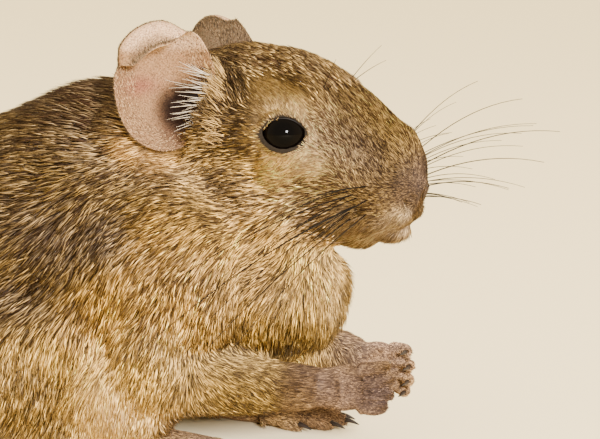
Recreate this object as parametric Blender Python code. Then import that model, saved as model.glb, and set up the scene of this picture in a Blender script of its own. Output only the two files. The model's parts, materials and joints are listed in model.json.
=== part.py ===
"""A still, life-size model of a degu that crouches on its hind feet with its forepaws held up.

Metres. +X runs forward to the nose, +Y to the animal's left, +Z up from the floor. Lengths below
are written in millimetres and turned to metres by MM. The solids reach out to the tips of the coat.
"""

import math
from typing import NamedTuple

import bmesh
import bpy
from mathutils import Matrix, Vector
from mathutils.bvhtree import BVHTree

MM = 0.001
GAP = 0.3 * MM
SEAT_GAP = 0.45 * MM
SLIVER = 0.004 * MM
SIDES = {"right": -1, "left": 1}
UP = Vector((0, 0, 1))
FORWARD = Vector((1, 0, 0))

# The trunk and head are upright sections: how far forward, top, bottom and half width.
TRUNK = (
    (-61, 28.5, 12.5, 8.5),
    (-58, 35, 8.6, 14),
    (-53, 41.6, 5.6, 19.5),
    (-46, 47, 4, 24),
    (-37, 51.4, 3.4, 26.8),
    (-26, 56, 4, 28),
    (-12, 61.2, 5, 27),
    (2, 61, 7, 24.5),
    (14, 54, 10.5, 20.5),
    (23, 43, 14.5, 16),
    (28, 35, 18, 11.5),
)
HEAD = (
    (-2, 62, 38, 14),
    (8, 66.4, 34, 16),
    (16, 68.2, 33.5, 16.4),
    (24, 67.4, 34, 15),
    (30, 65.2, 34.6, 13),
    (35, 62, 35.4, 10.8),
    (39, 58.9, 36.4, 9),
    (42.4, 56, 38.6, 7.2),
)
NOSE_TIP_X = 46.5

EYE_AT = (26.2, 11.2, 55.0)
EYE_RADIUS = 3.9
EYE_LOOKS = (0.30, 0.93, 0.16)
LID_HALF_LENGTH, LID_HALF_HEIGHT = 3.75, 2.85
LID_THICK, LID_WIDEN = 0.62, 1.25
LID_POINTS, EYE_SEGMENTS = 28, 16

# Each ear: its root, the way across it to the back rim, and the way up it.
EARS = {
    "right": ((13.8, 13.0, 61.2), (-0.84, 0.54, 0), (-0.25, 0.10, 0.96)),
    "left": ((13.0, 12.6, 61.4), (-0.80, 0.52, -0.20), (-0.50, 0.08, 0.86)),
}
# The ear's rim seen square on, across and up from the root, going round from the front of its top.
EAR_RIM = (
    (1.0, 8.9),
    (3.8, 11.4),
    (7.2, 12.6),
    (11.4, 11.6),
    (14.6, 8.6),
    (15.2, 5.2),
    (15.5, 1.6),
    (15.0, -2.0),
    (13.2, -6.2),
    (9.2, -9.0),
    (4.8, -8.8),
    (1.4, -6.2),
    (-0.6, -2.0),
    (-1.2, 3.4),
)
EAR_CANAL = (4.6, -1.6)
EAR_DEPTH, EAR_THICK = 6.2, 0.9
# How far the room that the head keeps free for an ear bulges out of the ear's hollow face.
EAR_ROOM_BULGE = 1.5
# Rings from the canal to the rim: how far out each lies, plain and where the rim folds over,
# and how far it rises there.
EAR_RINGS = (
    (0.0, 0.0, 0.0),
    (0.28, 0.32, 0.0),
    (0.52, 0.60, 0.0),
    (0.72, 0.86, 0.0),
    (0.87, 1.0, 0.9),
    (0.95, 0.87, 2.0),
    (1.0, 0.68, 2.3),
)
EAR_TURNS = 28
FOLD_FRONT, FOLD_BACK = (0.02, 0.15), (0.30, 0.375)

ELBOW = (5, 20, 15)
WRIST = (30.5, 11, 13.4)
HAND_POINTS = (0.94, -0.30, -0.04)
# Each finger's place up the palm and its length.
FINGERS = ((2.9, 4.4), (1.0, 5.2), (-1.0, 5.0), (-2.8, 4.0))
HEEL_X, BALL_X = -12, 15
# How far forward each hind foot is set, and how far out.
FEET = {"right": (2, 17.5), "left": (4.5, 13.5)}
# Each toe's place across the ball of the foot, its place along it, and its length.
TOES = ((4.4, -5.0, 6.4), (2.5, -1.0, 8.6), (0.3, 0.0, 9.4), (-1.9, -0.8, 8.8), (-4.0, -3.6, 6.6))
CLAWS = {"forepaw": (2.3, 0.5), "hind_foot": (3.1, 0.58)}

# The tail's places and its radius there, and where it is parted among its smooth sections.
TAIL = (
    (-52, 0, 16, 6.4),
    (-64, 0.6, 8.2, 5.2),
    (-78, 3.4, 3.9, 4.0),
    (-94, 9, 3.1, 3.3),
    (-112, 18, 2.8, 3.0),
    (-129, 29, 2.5, 2.7),
    (-144, 42, 2.2, 2.2),
)
TAIL_SECTIONS = 37
TAIL_JOINTS = {"tail_root": (0, 13), "tail_middle": (13, 25), "tail_tip": (25, 36)}
BRUSH_LOCKS = 20
BRUSH_FROM, BRUSH_TO = 26, 35
LOCK_LENGTH, LOCK_WIDTH, LOCK_THICK = 12.0, 2.2, 0.7

WHISKERS = {
    # root along, out and up the pad, then the way it points, its length and its droop
    "right": (
        (39.5, 8.0, 46.6, (-0.20, -0.90, 0.10), 34, 5),
        (37.6, 8.8, 45.4, (-0.38, -0.86, -0.06), 42, 7),
        (39.8, 8.0, 44.6, (-0.30, -0.90, -0.16), 40, 7),
        (37.2, 8.9, 43.2, (-0.46, -0.82, -0.22), 44, 8),
        (39.6, 7.8, 42.4, (-0.34, -0.86, -0.34), 34, 6),
        (36.6, 8.6, 41.2, (-0.46, -0.76, -0.40), 32, 5),
    ),
    "left": (
        (38.2, 8.0, 48.6, (0.02, 0.86, 0.50), 34, 6),
        (39.5, 8.0, 47.2, (0.12, 0.88, 0.42), 40, 8),
        (40.2, 7.8, 45.8, (0.22, 0.92, 0.30), 44, 9),
        (40.4, 7.6, 44.4, (0.20, 0.95, 0.20), 40, 8),
        (40.0, 7.4, 43.0, (0.16, 0.96, 0.10), 32, 6),
        (39.2, 7.4, 41.8, (0.14, 0.96, 0.00), 26, 4),
    ),
}
WHISKER_RADIUS = 0.3
WHISKER_SUNK = 1.8

# Outlines in X and Z along which the animal is parted.
HEAD_OUTLINE = ((-1, 90), (3, 60), (13, 41), (23, 33.2), (60, 29), (60, 90))
NECK_OUTLINE = ((-15, 90), (-9, 60), (0, 41), (12, 30.5), (24, 26.5), (60, 24), (60, 90))
MUZZLE_OUTLINE = (
    (37, 90),
    (34.2, 60),
    (32.2, 47),
    (28.6, 38.5),
    (27.8, 33),
    (27.6, 20),
    (60, 20),
    (60, 90),
)
PRISM_REACH = 60

# How finely shapes are run together, and the rounds of smoothing that follow.
BODY_MELT = (0.8, 14)
FACE_MELT = (0.42, 3)
REGION_MELT = (1.2, 6)
FOOT_MELT = (0.36, 3)
PAW_MELT = (0.28, 3)

# About how many triangles each part keeps.
FACES = {
    "flesh": 16000,
    "torso": 1900,
    "neck": 560,
    "head": 2600,
    "muzzle": 1100,
    "thigh": 640,
    "foreleg": 560,
    "forepaw": 460,
    "hind_foot": 560,
    "region": 900,
}

# What each kind of part is made of: its colour and its roughness.
FINISHES = {
    "eye": ((0.012, 0.008, 0.006), 0.08),
    "claw": ((0.16, 0.11, 0.08), 0.45),
    "ear": ((0.55, 0.40, 0.33), 0.6),
    "paw": ((0.36, 0.25, 0.17), 0.75),
    "foot": ((0.36, 0.25, 0.17), 0.75),
    "tail_tip": ((0.02, 0.015, 0.012), 0.8),
    "muzzle": ((0.32, 0.21, 0.10), 0.85),
    "head": ((0.24, 0.15, 0.07), 0.85),
    "": ((0.27, 0.17, 0.08), 0.85),
}
SHARP_ANGLE = 55


class Section(NamedTuple):
    """One cross-section of a loft: its middle and how far it reaches to each side, up and down."""

    at: Vector
    half_width: float
    rise: float
    drop: float


def spot(x, y, z, side=1):
    """A point given in millimetres, on the side that the sign says."""
    return Vector((x, y * side, z)) * MM


def clear_scene():
    """Removes whatever the scene holds."""
    for old in list(bpy.data.objects):
        bpy.data.objects.remove(old)


def skin_material(name, colour, roughness):
    """A plain, non-metal finish."""
    made = bpy.data.materials.new(name)
    made.use_nodes = True
    shader = made.node_tree.nodes["Principled BSDF"]
    shader.inputs["Base Color"].default_value = (*colour, 1)
    shader.inputs["Roughness"].default_value = roughness
    shader.inputs["Metallic"].default_value = 0
    return made


def add_object(name, bm):
    """Makes an object of the mesh, its faces pointing out."""
    mesh = bpy.data.meshes.new(name)
    bmesh.ops.recalc_face_normals(bm, faces=bm.faces)
    if bm.calc_volume(signed=True) < 0:
        bmesh.ops.reverse_faces(bm, faces=bm.faces)
    bm.to_mesh(mesh)
    bm.free()
    made = bpy.data.objects.new(name, mesh)
    bpy.context.scene.collection.objects.link(made)
    return made


def curved(p, q, r, s, part):
    """The value a part of the way from q to r, on the smooth curve through all four."""
    slope = r - p
    bend = 2 * p - 5 * q + 4 * r - s
    twist = 3 * q - p - 3 * r + s
    return q + 0.5 * (slope * part + bend * part**2 + twist * part**3)


def blended(rows, place):
    """The values of the rows at a place from 0 to the last row, on a smooth curve through them."""
    last = len(rows) - 1
    here = min(int(place), last - 1)
    near = [rows[min(max(here + k, 0), last)] for k in (-1, 0, 1, 2)]
    return [curved(*values, place - here) for values in zip(*near)]


def smooth_sections(sections, count):
    """The same loft with more sections, on smooth curves through the given ones."""
    rows = [(*s.at, s.half_width, s.rise, s.drop) for s in sections]
    step = (len(rows) - 1) / (count - 1)
    made = [blended(rows, step * k) for k in range(count)]
    return [Section(Vector(v[:3]), *v[3:]) for v in made]


def rounded_end(section, tangent, length, rings=3):
    """Sections that close an end with a dome of the given length."""
    made = []
    for k in range(1, rings + 1):
        angle = math.radians(84) * k / rings
        shrink = math.cos(angle)
        made.append(
            Section(
                section.at + tangent * length * math.sin(angle),
                section.half_width * shrink,
                section.rise * shrink,
                section.drop * shrink,
            )
        )
    return made


def loft(name, sections, sides=24, count=24, start_cap=0.0, end_cap=0.0, upright=False, up=UP):
    """A closed body through the sections. An upright one keeps every section square to +X."""
    row = smooth_sections(sections, count)
    if start_cap:
        tangent = -FORWARD if upright else (row[0].at - row[1].at).normalized()
        row = rounded_end(row[0], tangent, start_cap)[::-1] + row
    if end_cap:
        tangent = FORWARD if upright else (row[-1].at - row[-2].at).normalized()
        row = row + rounded_end(row[-1], tangent, end_cap)
    bm = bmesh.new()
    rings = []
    for k, section in enumerate(row):
        before, after = row[max(k - 1, 0)].at, row[min(k + 1, len(row) - 1)].at
        along = FORWARD if upright else (after - before).normalized()
        out = up.cross(along).normalized()
        over = along.cross(out)
        ring = []
        for j in range(sides):
            angle = 2 * math.pi * j / sides
            lift = math.sin(angle)
            reach = section.rise if lift > 0 else section.drop
            place = out * section.half_width * math.cos(angle) + over * reach * lift
            ring.append(bm.verts.new(section.at + place))
        rings.append(ring)
    for low, high in zip(rings, rings[1:]):
        for j in range(sides):
            bm.faces.new((low[j], low[(j + 1) % sides], high[(j + 1) % sides], high[j]))
    bm.faces.new(rings[0][::-1])
    bm.faces.new(rings[-1])
    return add_object(name, bm)


def round_loft(name, points, **options):
    """A loft through (point, radius) pairs with round sections."""
    return loft(name, [Section(at, r, r, r) for at, r in points], **options)


def ball(name, at, radii, turn=(0, 0, 0), segments=28):
    """An ellipsoid with the given half sizes, turned by three angles in degrees."""
    bm = bmesh.new()
    bmesh.ops.create_uvsphere(bm, u_segments=segments, v_segments=segments // 2, radius=1)
    angles = [math.radians(a) for a in turn]
    place = Matrix.Translation(at)
    for axis, angle in zip("XYZ", angles):
        place = place @ Matrix.Rotation(angle, 4, axis)
    bm.transform(place @ Matrix.Diagonal((*[r * MM for r in radii], 1)))
    return add_object(name, bm)


def apply_modifiers(obj):
    """Makes the evaluated mesh the object's own."""
    bpy.context.view_layer.update()
    graph = bpy.context.evaluated_depsgraph_get()
    mesh = bpy.data.meshes.new_from_object(obj.evaluated_get(graph))
    obj.modifiers.clear()
    obj.data = mesh
    return obj


def joined(name, objects):
    """One object that holds copies of all the meshes, whose sources are removed."""
    bm = bmesh.new()
    for source in objects:
        bm.from_mesh(source.data)
        bpy.data.objects.remove(source)
    mesh = bpy.data.meshes.new(name)
    bm.to_mesh(mesh)
    bm.free()
    made = bpy.data.objects.new(name, mesh)
    bpy.context.scene.collection.objects.link(made)
    return made


def melted(name, objects, voxel, rounds):
    """The shapes run together into one smooth body."""
    made = joined(name, objects)
    fuse = made.modifiers.new("fuse", "REMESH")
    fuse.mode = "VOXEL"
    fuse.voxel_size = voxel * MM
    soften = made.modifiers.new("soften", "SMOOTH")
    soften.factor = 0.5
    soften.iterations = rounds
    return apply_modifiers(made)


def thinned(obj, faces):
    """The same body with about this many triangles, a few more where that is what keeps it closed."""
    before = obj.data
    now = sum(len(p.vertices) - 2 for p in before.polygons)
    for extra in range(0, 200, 10):
        obj.data = before
        thin = obj.modifiers.new("thin", "DECIMATE")
        thin.ratio = min(1.0, (faces + extra) / now)
        thin.use_collapse_triangulate = True
        tidied(apply_modifiers(obj))
        if is_closed(obj.data):
            return obj
    raise ValueError(f"{obj.name} can't be thinned to {faces} triangles")


def largest_body(obj):
    """Keeps only the largest closed surface of the mesh."""
    bm = bmesh.new()
    bm.from_mesh(obj.data)
    left, islands = set(bm.verts), []
    while left:
        seed = left.pop()
        island, edge = [seed], [seed]
        while edge:
            for link in edge.pop().link_edges:
                for vert in link.verts:
                    if vert in left:
                        left.remove(vert)
                        island.append(vert)
                        edge.append(vert)
        islands.append(island)
    keep = set(max(islands, key=len, default=()))
    bmesh.ops.delete(bm, geom=[v for v in bm.verts if v not in keep], context="VERTS")
    bm.to_mesh(obj.data)
    bm.free()
    return obj


def is_closed(mesh):
    """Whether every edge of the mesh has exactly two faces."""
    bm = bmesh.new()
    bm.from_mesh(mesh)
    closed = bool(bm.faces) and all(edge.is_manifold for edge in bm.edges)
    bm.free()
    return closed


def tidied(obj):
    """Keeps the largest closed surface, without slivers wherever they can go and leave it closed."""
    plain = largest_body(obj).data
    bm = bmesh.new()
    bm.from_mesh(plain)
    bmesh.ops.remove_doubles(bm, verts=bm.verts, dist=SLIVER)
    bmesh.ops.dissolve_degenerate(bm, edges=bm.edges, dist=SLIVER)
    bmesh.ops.triangulate(bm, faces=bm.faces)
    neat = plain.copy()
    bm.to_mesh(neat)
    bm.free()
    obj.data = neat if is_closed(neat) else plain
    return obj


def boolean(obj, operation, other=None, collection=None):
    """Runs a Boolean and applies it, by the MANIFOLD solver where EXACT leaves the node open."""
    before = obj.data
    for solver in ("EXACT", "MANIFOLD"):
        obj.data = before
        step = obj.modifiers.new("step", "BOOLEAN")
        step.operation = operation
        step.solver = solver
        step.operand_type = "COLLECTION" if collection else "OBJECT"
        if collection:
            step.collection = collection
        else:
            step.object = other
        tidied(apply_modifiers(obj))
        if is_closed(obj.data):
            return obj
    raise ValueError(f"{obj.name} isn't closed after the {operation.lower()}")


def cut(obj, cutter):
    """Takes the cutter out of the node and removes the cutter."""
    boolean(obj, "DIFFERENCE", cutter)
    bpy.data.objects.remove(cutter)
    return obj


def fused(obj, pieces):
    """Unites the node with closed pieces in one Boolean and removes them."""
    group = bpy.data.collections.new("pieces")
    bpy.context.scene.collection.children.link(group)
    for piece in pieces:
        bpy.context.scene.collection.objects.unlink(piece)
        group.objects.link(piece)
    boolean(obj, "UNION", collection=group)
    for piece in list(group.objects):
        bpy.data.objects.remove(piece)
    bpy.data.collections.remove(group)
    return obj


def copy_of(obj, name):
    """A second object with a mesh of its own."""
    made = bpy.data.objects.new(name, obj.data.copy())
    bpy.context.scene.collection.objects.link(made)
    return made


def grown(obj, name, by):
    """A copy of the body whose surface stands off by the given distance."""
    made = copy_of(obj, name)
    push = made.modifiers.new("push", "DISPLACE")
    push.mid_level = 0
    push.strength = by
    return apply_modifiers(made)


def prism(name, outline):
    """A block with an outline in X and Z, wide enough to pass through the whole animal."""
    bm = bmesh.new()
    base = [bm.verts.new(spot(x, -PRISM_REACH, z)) for x, z in outline]
    face = bm.faces.new(base)
    made = bmesh.ops.extrude_face_region(bm, geom=[face])
    top = [v for v in made["geom"] if isinstance(v, bmesh.types.BMVert)]
    bmesh.ops.translate(bm, verts=top, vec=spot(0, 2 * PRISM_REACH, 0))
    return add_object(name, bm)


def claimed(flesh, region, name):
    """The part of the flesh inside the region."""
    return boolean(copy_of(flesh, name), "INTERSECT", region)


def left_over(flesh, region, gap=GAP):
    """Cuts the region, with the gap round it, out of the flesh, and removes the region."""
    cut(flesh, grown(region, "wider", gap))
    bpy.data.objects.remove(region)
    return flesh


def upright_sections(rows):
    """Sections square to +X from rows of place, top, bottom and half width."""
    made = []
    for x, top, bottom, half in rows:
        reach = (top - bottom) / 2 * MM
        made.append(Section(spot(x, 0, (top + bottom) / 2), half * MM, reach, reach))
    return made


def trunk_shapes():
    """The rounded back and belly, and the thick neck."""
    trunk = loft("trunk", upright_sections(TRUNK), 40, 50, 1.2 * MM, 4.5 * MM, upright=True)
    neck = ball("neck_mass", spot(1, 0, 46), (15, 20, 16))
    return [trunk, neck]


def head_shapes():
    """The skull with its coat, and the fuller places at cheeks, brows, chin and whisker pads."""
    cap = (NOSE_TIP_X - HEAD[-1][0]) * MM
    skull = loft("skull", upright_sections(HEAD), 36, 36, 6 * MM, cap, upright=True)
    made = [
        skull,
        ball("chin", spot(34.5, 0, 38.8), (6.4, 5.2, 4.2)),
    ]
    for side in SIDES.values():
        made += [
            ball("cheek", spot(17, 10.4, 45.5, side), (13, 6.4, 10)),
            ball("brow", spot(25, 7.8, 58.8, side), (9, 5.4, 5.0)),
            ball("lip_pad", spot(37.5, 4.4, 44.0, side), (7.2, 5.0, 6.6)),
        ]
    return made


def snout_shapes():
    """The smaller forms of the face: nose, wings of the nostrils, lips, chin and the rims of the lids."""
    made = [
        ball("nose", spot(43.9, 0, 46.4), (2.9, 2.5, 2.6)),
        ball("lower_lip", spot(40.6, 0, 38.4), (3.6, 3.3, 2.2)),
    ]
    for side in SIDES.values():
        made += [
            ball("nose_wing", spot(43.6, 2.3, 45.0, side), (2.9, 1.9, 2.2)),
            ball("upper_lip", spot(41.6, 3.0, 42.0, side), (3.8, 3.2, 3.2)),
            lid_ring(side),
        ]
    return made


def leg_shapes():
    """Haunches, folded knees and shanks, shoulders and arms."""
    made = []
    for name, side in SIDES.items():
        forward, out = FEET[name]
        made += [
            ball("thigh", spot(-25, 18.2, 21.8, side), (25, 11.8, 20.6), (0, 12, 0)),
            ball("knee", spot(-2, 18.4, 12.5, side), (13.5, 7.8, 9.5), (0, 12, 0)),
            ball("shank", spot(forward - 9, out + 1.2, 7.4, side), (10, 5.8, 7.2)),
            ball("shoulder", spot(8, 16, 34, side), (13, 8.8, 17), (0, -14, 0)),
            round_loft(
                "arm",
                [
                    (spot(10, 17.5, 33, side), 8 * MM),
                    (spot(6.5, 19.6, 23, side), 7 * MM),
                    (spot(*ELBOW, side), 6.4 * MM),
                ],
                up=FORWARD,
                end_cap=5 * MM,
            ),
            round_loft(
                "forearm",
                [
                    (spot(*ELBOW, side), 6.2 * MM),
                    (spot(18, 16.2, 13.9, side), 5.2 * MM),
                    (spot(*WRIST, side), 3.9 * MM),
                ],
                start_cap=5 * MM,
                end_cap=3 * MM,
            ),
        ]
    return made


def flesh_body():
    """All the flesh but the paws, feet, ears and tail, as one body."""
    return melted("flesh", trunk_shapes() + head_shapes() + leg_shapes(), *BODY_MELT)


def haunch_region(side):
    """What belongs to the hind leg: the haunch, and the knee that lies low in front of it."""
    shapes = [
        ball("haunch", spot(-23, 27, 19, side), (30, 14, 25), (0, 10, 0), 40),
        ball("low_knee", spot(1, 24, 2, side), (15, 14, 8.4)),
    ]
    return thinned(melted("haunch_region", shapes, *REGION_MELT), FACES["region"])


def arm_region(side):
    """What belongs to the foreleg, from the shoulder to the wrist."""
    upper = [
        (spot(13, 21, 40, side), 9.6 * MM),
        (spot(9, 22.5, 27, side), 10 * MM),
        (spot(8, 22, 14, side), 9.4 * MM),
    ]
    lower = [
        (spot(7, 22, 14, side), 9.4 * MM),
        (spot(22, 17, 13, side), 9 * MM),
        (spot(36, 9.5, 13.4, side), 7 * MM),
    ]
    shapes = [
        round_loft("upper", upper, start_cap=9 * MM, end_cap=9 * MM, up=Vector((0, 1, 0))),
        round_loft("lower", lower, start_cap=9 * MM, end_cap=2 * MM),
    ]
    return thinned(melted("arm_region", shapes, *REGION_MELT), FACES["region"])


def on_surface(tree, point):
    """The place on the surface that lies nearest."""
    return tree.find_nearest(point)[0]


def surface_tree(obj):
    """A search tree of the object's surface."""
    bm = bmesh.new()
    bm.from_mesh(obj.data)
    tree = BVHTree.FromBMesh(bm)
    bm.free()
    return tree


def eye_frame(side):
    """The eye's middle, its line of sight, and the ways along and across its opening."""
    look = Vector((EYE_LOOKS[0], EYE_LOOKS[1] * side, EYE_LOOKS[2])).normalized()
    across = UP.cross(look).normalized() * -side
    over = across.cross(look).normalized() * side
    return spot(*EYE_AT, side), look, across, over


def lid_ring(side):
    """The rim of the lids: an almond loop that lies on the ball, with its corners drawn out."""
    middle, look, across, over = eye_frame(side)
    path = []
    for k in range(LID_POINTS):
        angle = 2 * math.pi * k / LID_POINTS
        along = LID_HALF_LENGTH * math.cos(angle)
        rise = LID_HALF_HEIGHT * math.sin(angle) * (1 - 0.30 * abs(math.cos(angle)) ** 4)
        reach = math.sqrt(max((EYE_RADIUS + 0.15) ** 2 - along**2 - rise**2, 0.3))
        path.append(middle + (across * along + over * rise + look * reach) * MM)
    bm = bmesh.new()
    sides, rings = 8, []
    for k, at in enumerate(path):
        along = (path[(k + 1) % LID_POINTS] - path[k - 1]).normalized()
        out = (at - middle).normalized()
        over_lid = along.cross(out).normalized() * LID_WIDEN
        turns = [2 * math.pi * j / sides for j in range(sides)]
        ring = [at + (out * math.cos(a) + over_lid * math.sin(a)) * LID_THICK * MM for a in turns]
        rings.append([bm.verts.new(place) for place in ring])
    for k in range(LID_POINTS):
        low, high = rings[k], rings[(k + 1) % LID_POINTS]
        for j in range(sides):
            bm.faces.new((low[j], low[(j + 1) % sides], high[(j + 1) % sides], high[j]))
    return add_object("lid_ring", bm)


def make_head(flesh):
    """The head with lids, cut clear of the ears, and the two eyeballs in their sockets."""
    region = prism("head_region", HEAD_OUTLINE)
    head = claimed(flesh, region, "head")
    bpy.data.objects.remove(region)
    left_over(head, prism("front", MUZZLE_OUTLINE))
    for side_name in SIDES:
        left_over(head, ear_shell(side_name, "ear_room", filled=True), SEAT_GAP)
    thinned(head, FACES["head"])
    for name, side in SIDES.items():
        middle = eye_frame(side)[0]
        cut(head, ball("socket", middle, [EYE_RADIUS + GAP / MM] * 3, segments=EYE_SEGMENTS))
        ball(f"eye_{name}", middle, [EYE_RADIUS] * 3, segments=EYE_SEGMENTS)
    return head


def tapered(name, path, radius, sides=3, tip_share=0.25):
    """A thin curved spine that narrows to its tip."""
    count = len(path)
    points = [(at, radius * (1 - (1 - tip_share) * k / (count - 1))) for k, at in enumerate(path)]
    return round_loft(name, points, sides=sides, count=count)


def whisker(side_name, row):
    """One long whisker, its root sunk in the pad."""
    x, y, z, way, length, droop = row
    side = SIDES[side_name]
    root = spot(x, y, z, side)
    way = Vector(way).normalized()
    bend = Vector((0.25, 0, -1)) if side > 0 else Vector((-0.2, 0.1, -1))
    path = []
    for k in range(5):
        share = k / 4
        reach = length * share - WHISKER_SUNK
        path.append(root + (way * reach + bend * droop * share**2.2) * MM)
    return tapered("whisker", path, WHISKER_RADIUS * MM)


def mouth_groove(tree):
    """A tube along the line of the lips, from one corner of the mouth round the front to the other."""
    path, half = [], 8
    for k in range(-half, half + 1):
        turn = k / half
        x = 46 - 9 * abs(turn) ** 1.5
        y = 7.4 * math.copysign(abs(turn) ** 0.85, turn)
        z = 40.0 - 2.4 * abs(turn) ** 1.4
        path.append((on_surface(tree, spot(x, y, z)), 0.5 * MM * (1 - 0.5 * abs(turn))))
    return round_loft("mouth_groove", path, sides=6, count=len(path))


def lip_split(tree):
    """The groove that runs down from the nose and parts the upper lip."""
    path = [(on_surface(tree, spot(48, 0, z)), 0.42 * MM) for z in (44.2, 42.8, 41.6, 40.0)]
    return round_loft("lip_split", path, sides=6, count=5)


def nostril(tree, side):
    """A comma-shaped hole that curls out and back from the front of the nose."""
    points = [
        (on_surface(tree, spot(46.6, 1.2, 44.4, side)), 0.36 * MM),
        (on_surface(tree, spot(45.8, 2.4, 44.2, side)), 0.46 * MM),
        (on_surface(tree, spot(44.6, 3.9, 44.9, side)), 0.66 * MM),
    ]
    return round_loft("nostril", points, sides=7, count=6)


def make_muzzle(flesh):
    """The snout with its nostrils, split lip, line of the mouth and whiskers."""
    region = prism("front", MUZZLE_OUTLINE)
    head_region = prism("head_region", HEAD_OUTLINE)
    muzzle = boolean(claimed(flesh, region, "muzzle"), "INTERSECT", head_region)
    bpy.data.objects.remove(region)
    bpy.data.objects.remove(head_region)
    thinned(muzzle, FACES["muzzle"])
    tree = surface_tree(muzzle)
    cutters = [mouth_groove(tree), lip_split(tree)]
    cutters += [nostril(tree, side) for side in SIDES.values()]
    for cutter in cutters:
        cut(muzzle, cutter)
    hairs = [whisker(name, row) for name, rows in WHISKERS.items() for row in rows]
    return fused(muzzle, hairs)


def ear_frame(side_name):
    """The ear's root and the ways across it, up it and out of its hollow face."""
    side = SIDES[side_name]
    root, across, along = EARS[side_name]
    across = Vector((across[0], across[1] * side, across[2])).normalized()
    along = Vector((along[0], along[1] * side, along[2]))
    along = (along - across * along.dot(across)).normalized()
    return spot(*root, side), across, along, along.cross(across).normalized() * -side


def eased(value, low, high):
    """0 below low, 1 above high, and a smooth step between."""
    part = min(max((value - low) / (high - low), 0), 1)
    return part * part * (3 - 2 * part)


def fold_share(turn):
    """How far the rim folds over: fully where the top meets the back, not at all low down."""
    return eased(turn, *FOLD_FRONT) * (1 - eased(turn, *FOLD_BACK))


def ear_spot(turn, ring, depth, side_name):
    """A point of the hollow face. turn runs once round the ear, ring counts out from the canal."""
    root, across, along, out = ear_frame(side_name)
    loop = (EAR_RIM[-1], *EAR_RIM, EAR_RIM[0], EAR_RIM[1])
    a, b = blended(loop, 1 + turn * len(EAR_RIM))
    fold = fold_share(turn)
    plain, folded, rise = EAR_RINGS[ring]
    reach = plain + (folded - plain) * fold
    middle_a, middle_b = EAR_CANAL
    sink = depth * (1 - plain**2.2) - fold * rise - 0.5 * (1 - fold) * plain**6
    place = across * (middle_a + (a - middle_a) * reach) + along * (middle_b + (b - middle_b) * reach)
    return root + (place - out * sink) * MM


def ear_shell(side_name, name, filled=False):
    """A thin cup closed along its rim. A filled one has its hollow closed off by a shallow face."""
    out = ear_frame(side_name)[3]
    bm = bmesh.new()
    layers = []
    for thick in (0.0, 1.0):
        depth = -EAR_ROOM_BULGE if filled and not thick else EAR_DEPTH
        rings = []
        for ring in range(1, len(EAR_RINGS)):
            back = EAR_THICK * (1.3 - 0.7 * EAR_RINGS[ring][0] ** 3) * thick * MM
            rim = []
            for k in range(EAR_TURNS):
                turn = k / EAR_TURNS
                on_rim = ring == len(EAR_RINGS) - 1
                flip = max(1 - 2 * fold_share(turn) * on_rim, -0.6)
                rim.append(bm.verts.new(ear_spot(turn, ring, depth, side_name) - out * back * flip))
            rings.append(rim)
        middle = bm.verts.new(ear_spot(0, 0, depth, side_name) - out * EAR_THICK * 1.3 * thick * MM)
        layers.append((middle, rings))
    for middle, rings in layers:
        for k in range(EAR_TURNS):
            follow = (k + 1) % EAR_TURNS
            bm.faces.new((middle, rings[0][k], rings[0][follow]))
            for low, high in zip(rings, rings[1:]):
                bm.faces.new((low[k], high[k], high[follow]))
                bm.faces.new((low[k], high[follow], low[follow]))
    inner, outer = layers[0][1][-1], layers[1][1][-1]
    for k in range(EAR_TURNS):
        follow = (k + 1) % EAR_TURNS
        bm.faces.new((inner[k], inner[follow], outer[follow], outer[k]))
    return add_object(name, bm)


def claw(name, root, way, bend, length, radius):
    """A small curved claw, its root sunk in the toe."""
    path = [root + (way * length * s + bend * length * 0.45 * s * s) * MM for s in (0, 0.35, 0.7, 1)]
    points = [(at, radius * MM * r) for at, r in zip(path, (1, 0.88, 0.56, 0.16))]
    return round_loft(name, points, sides=5, count=4, up=Vector((0, 1, 0.3)))


def seat_claws(paw, claws):
    """Cuts a pocket for each claw, with the gap round it, out of the paw."""
    for piece in claws:
        cut(paw, grown(piece, "wider_claw", GAP))


def hand_direction(side):
    """The way the hand points from its wrist."""
    x, y, z = HAND_POINTS
    return Vector((x, y * side, z)).normalized()


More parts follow.
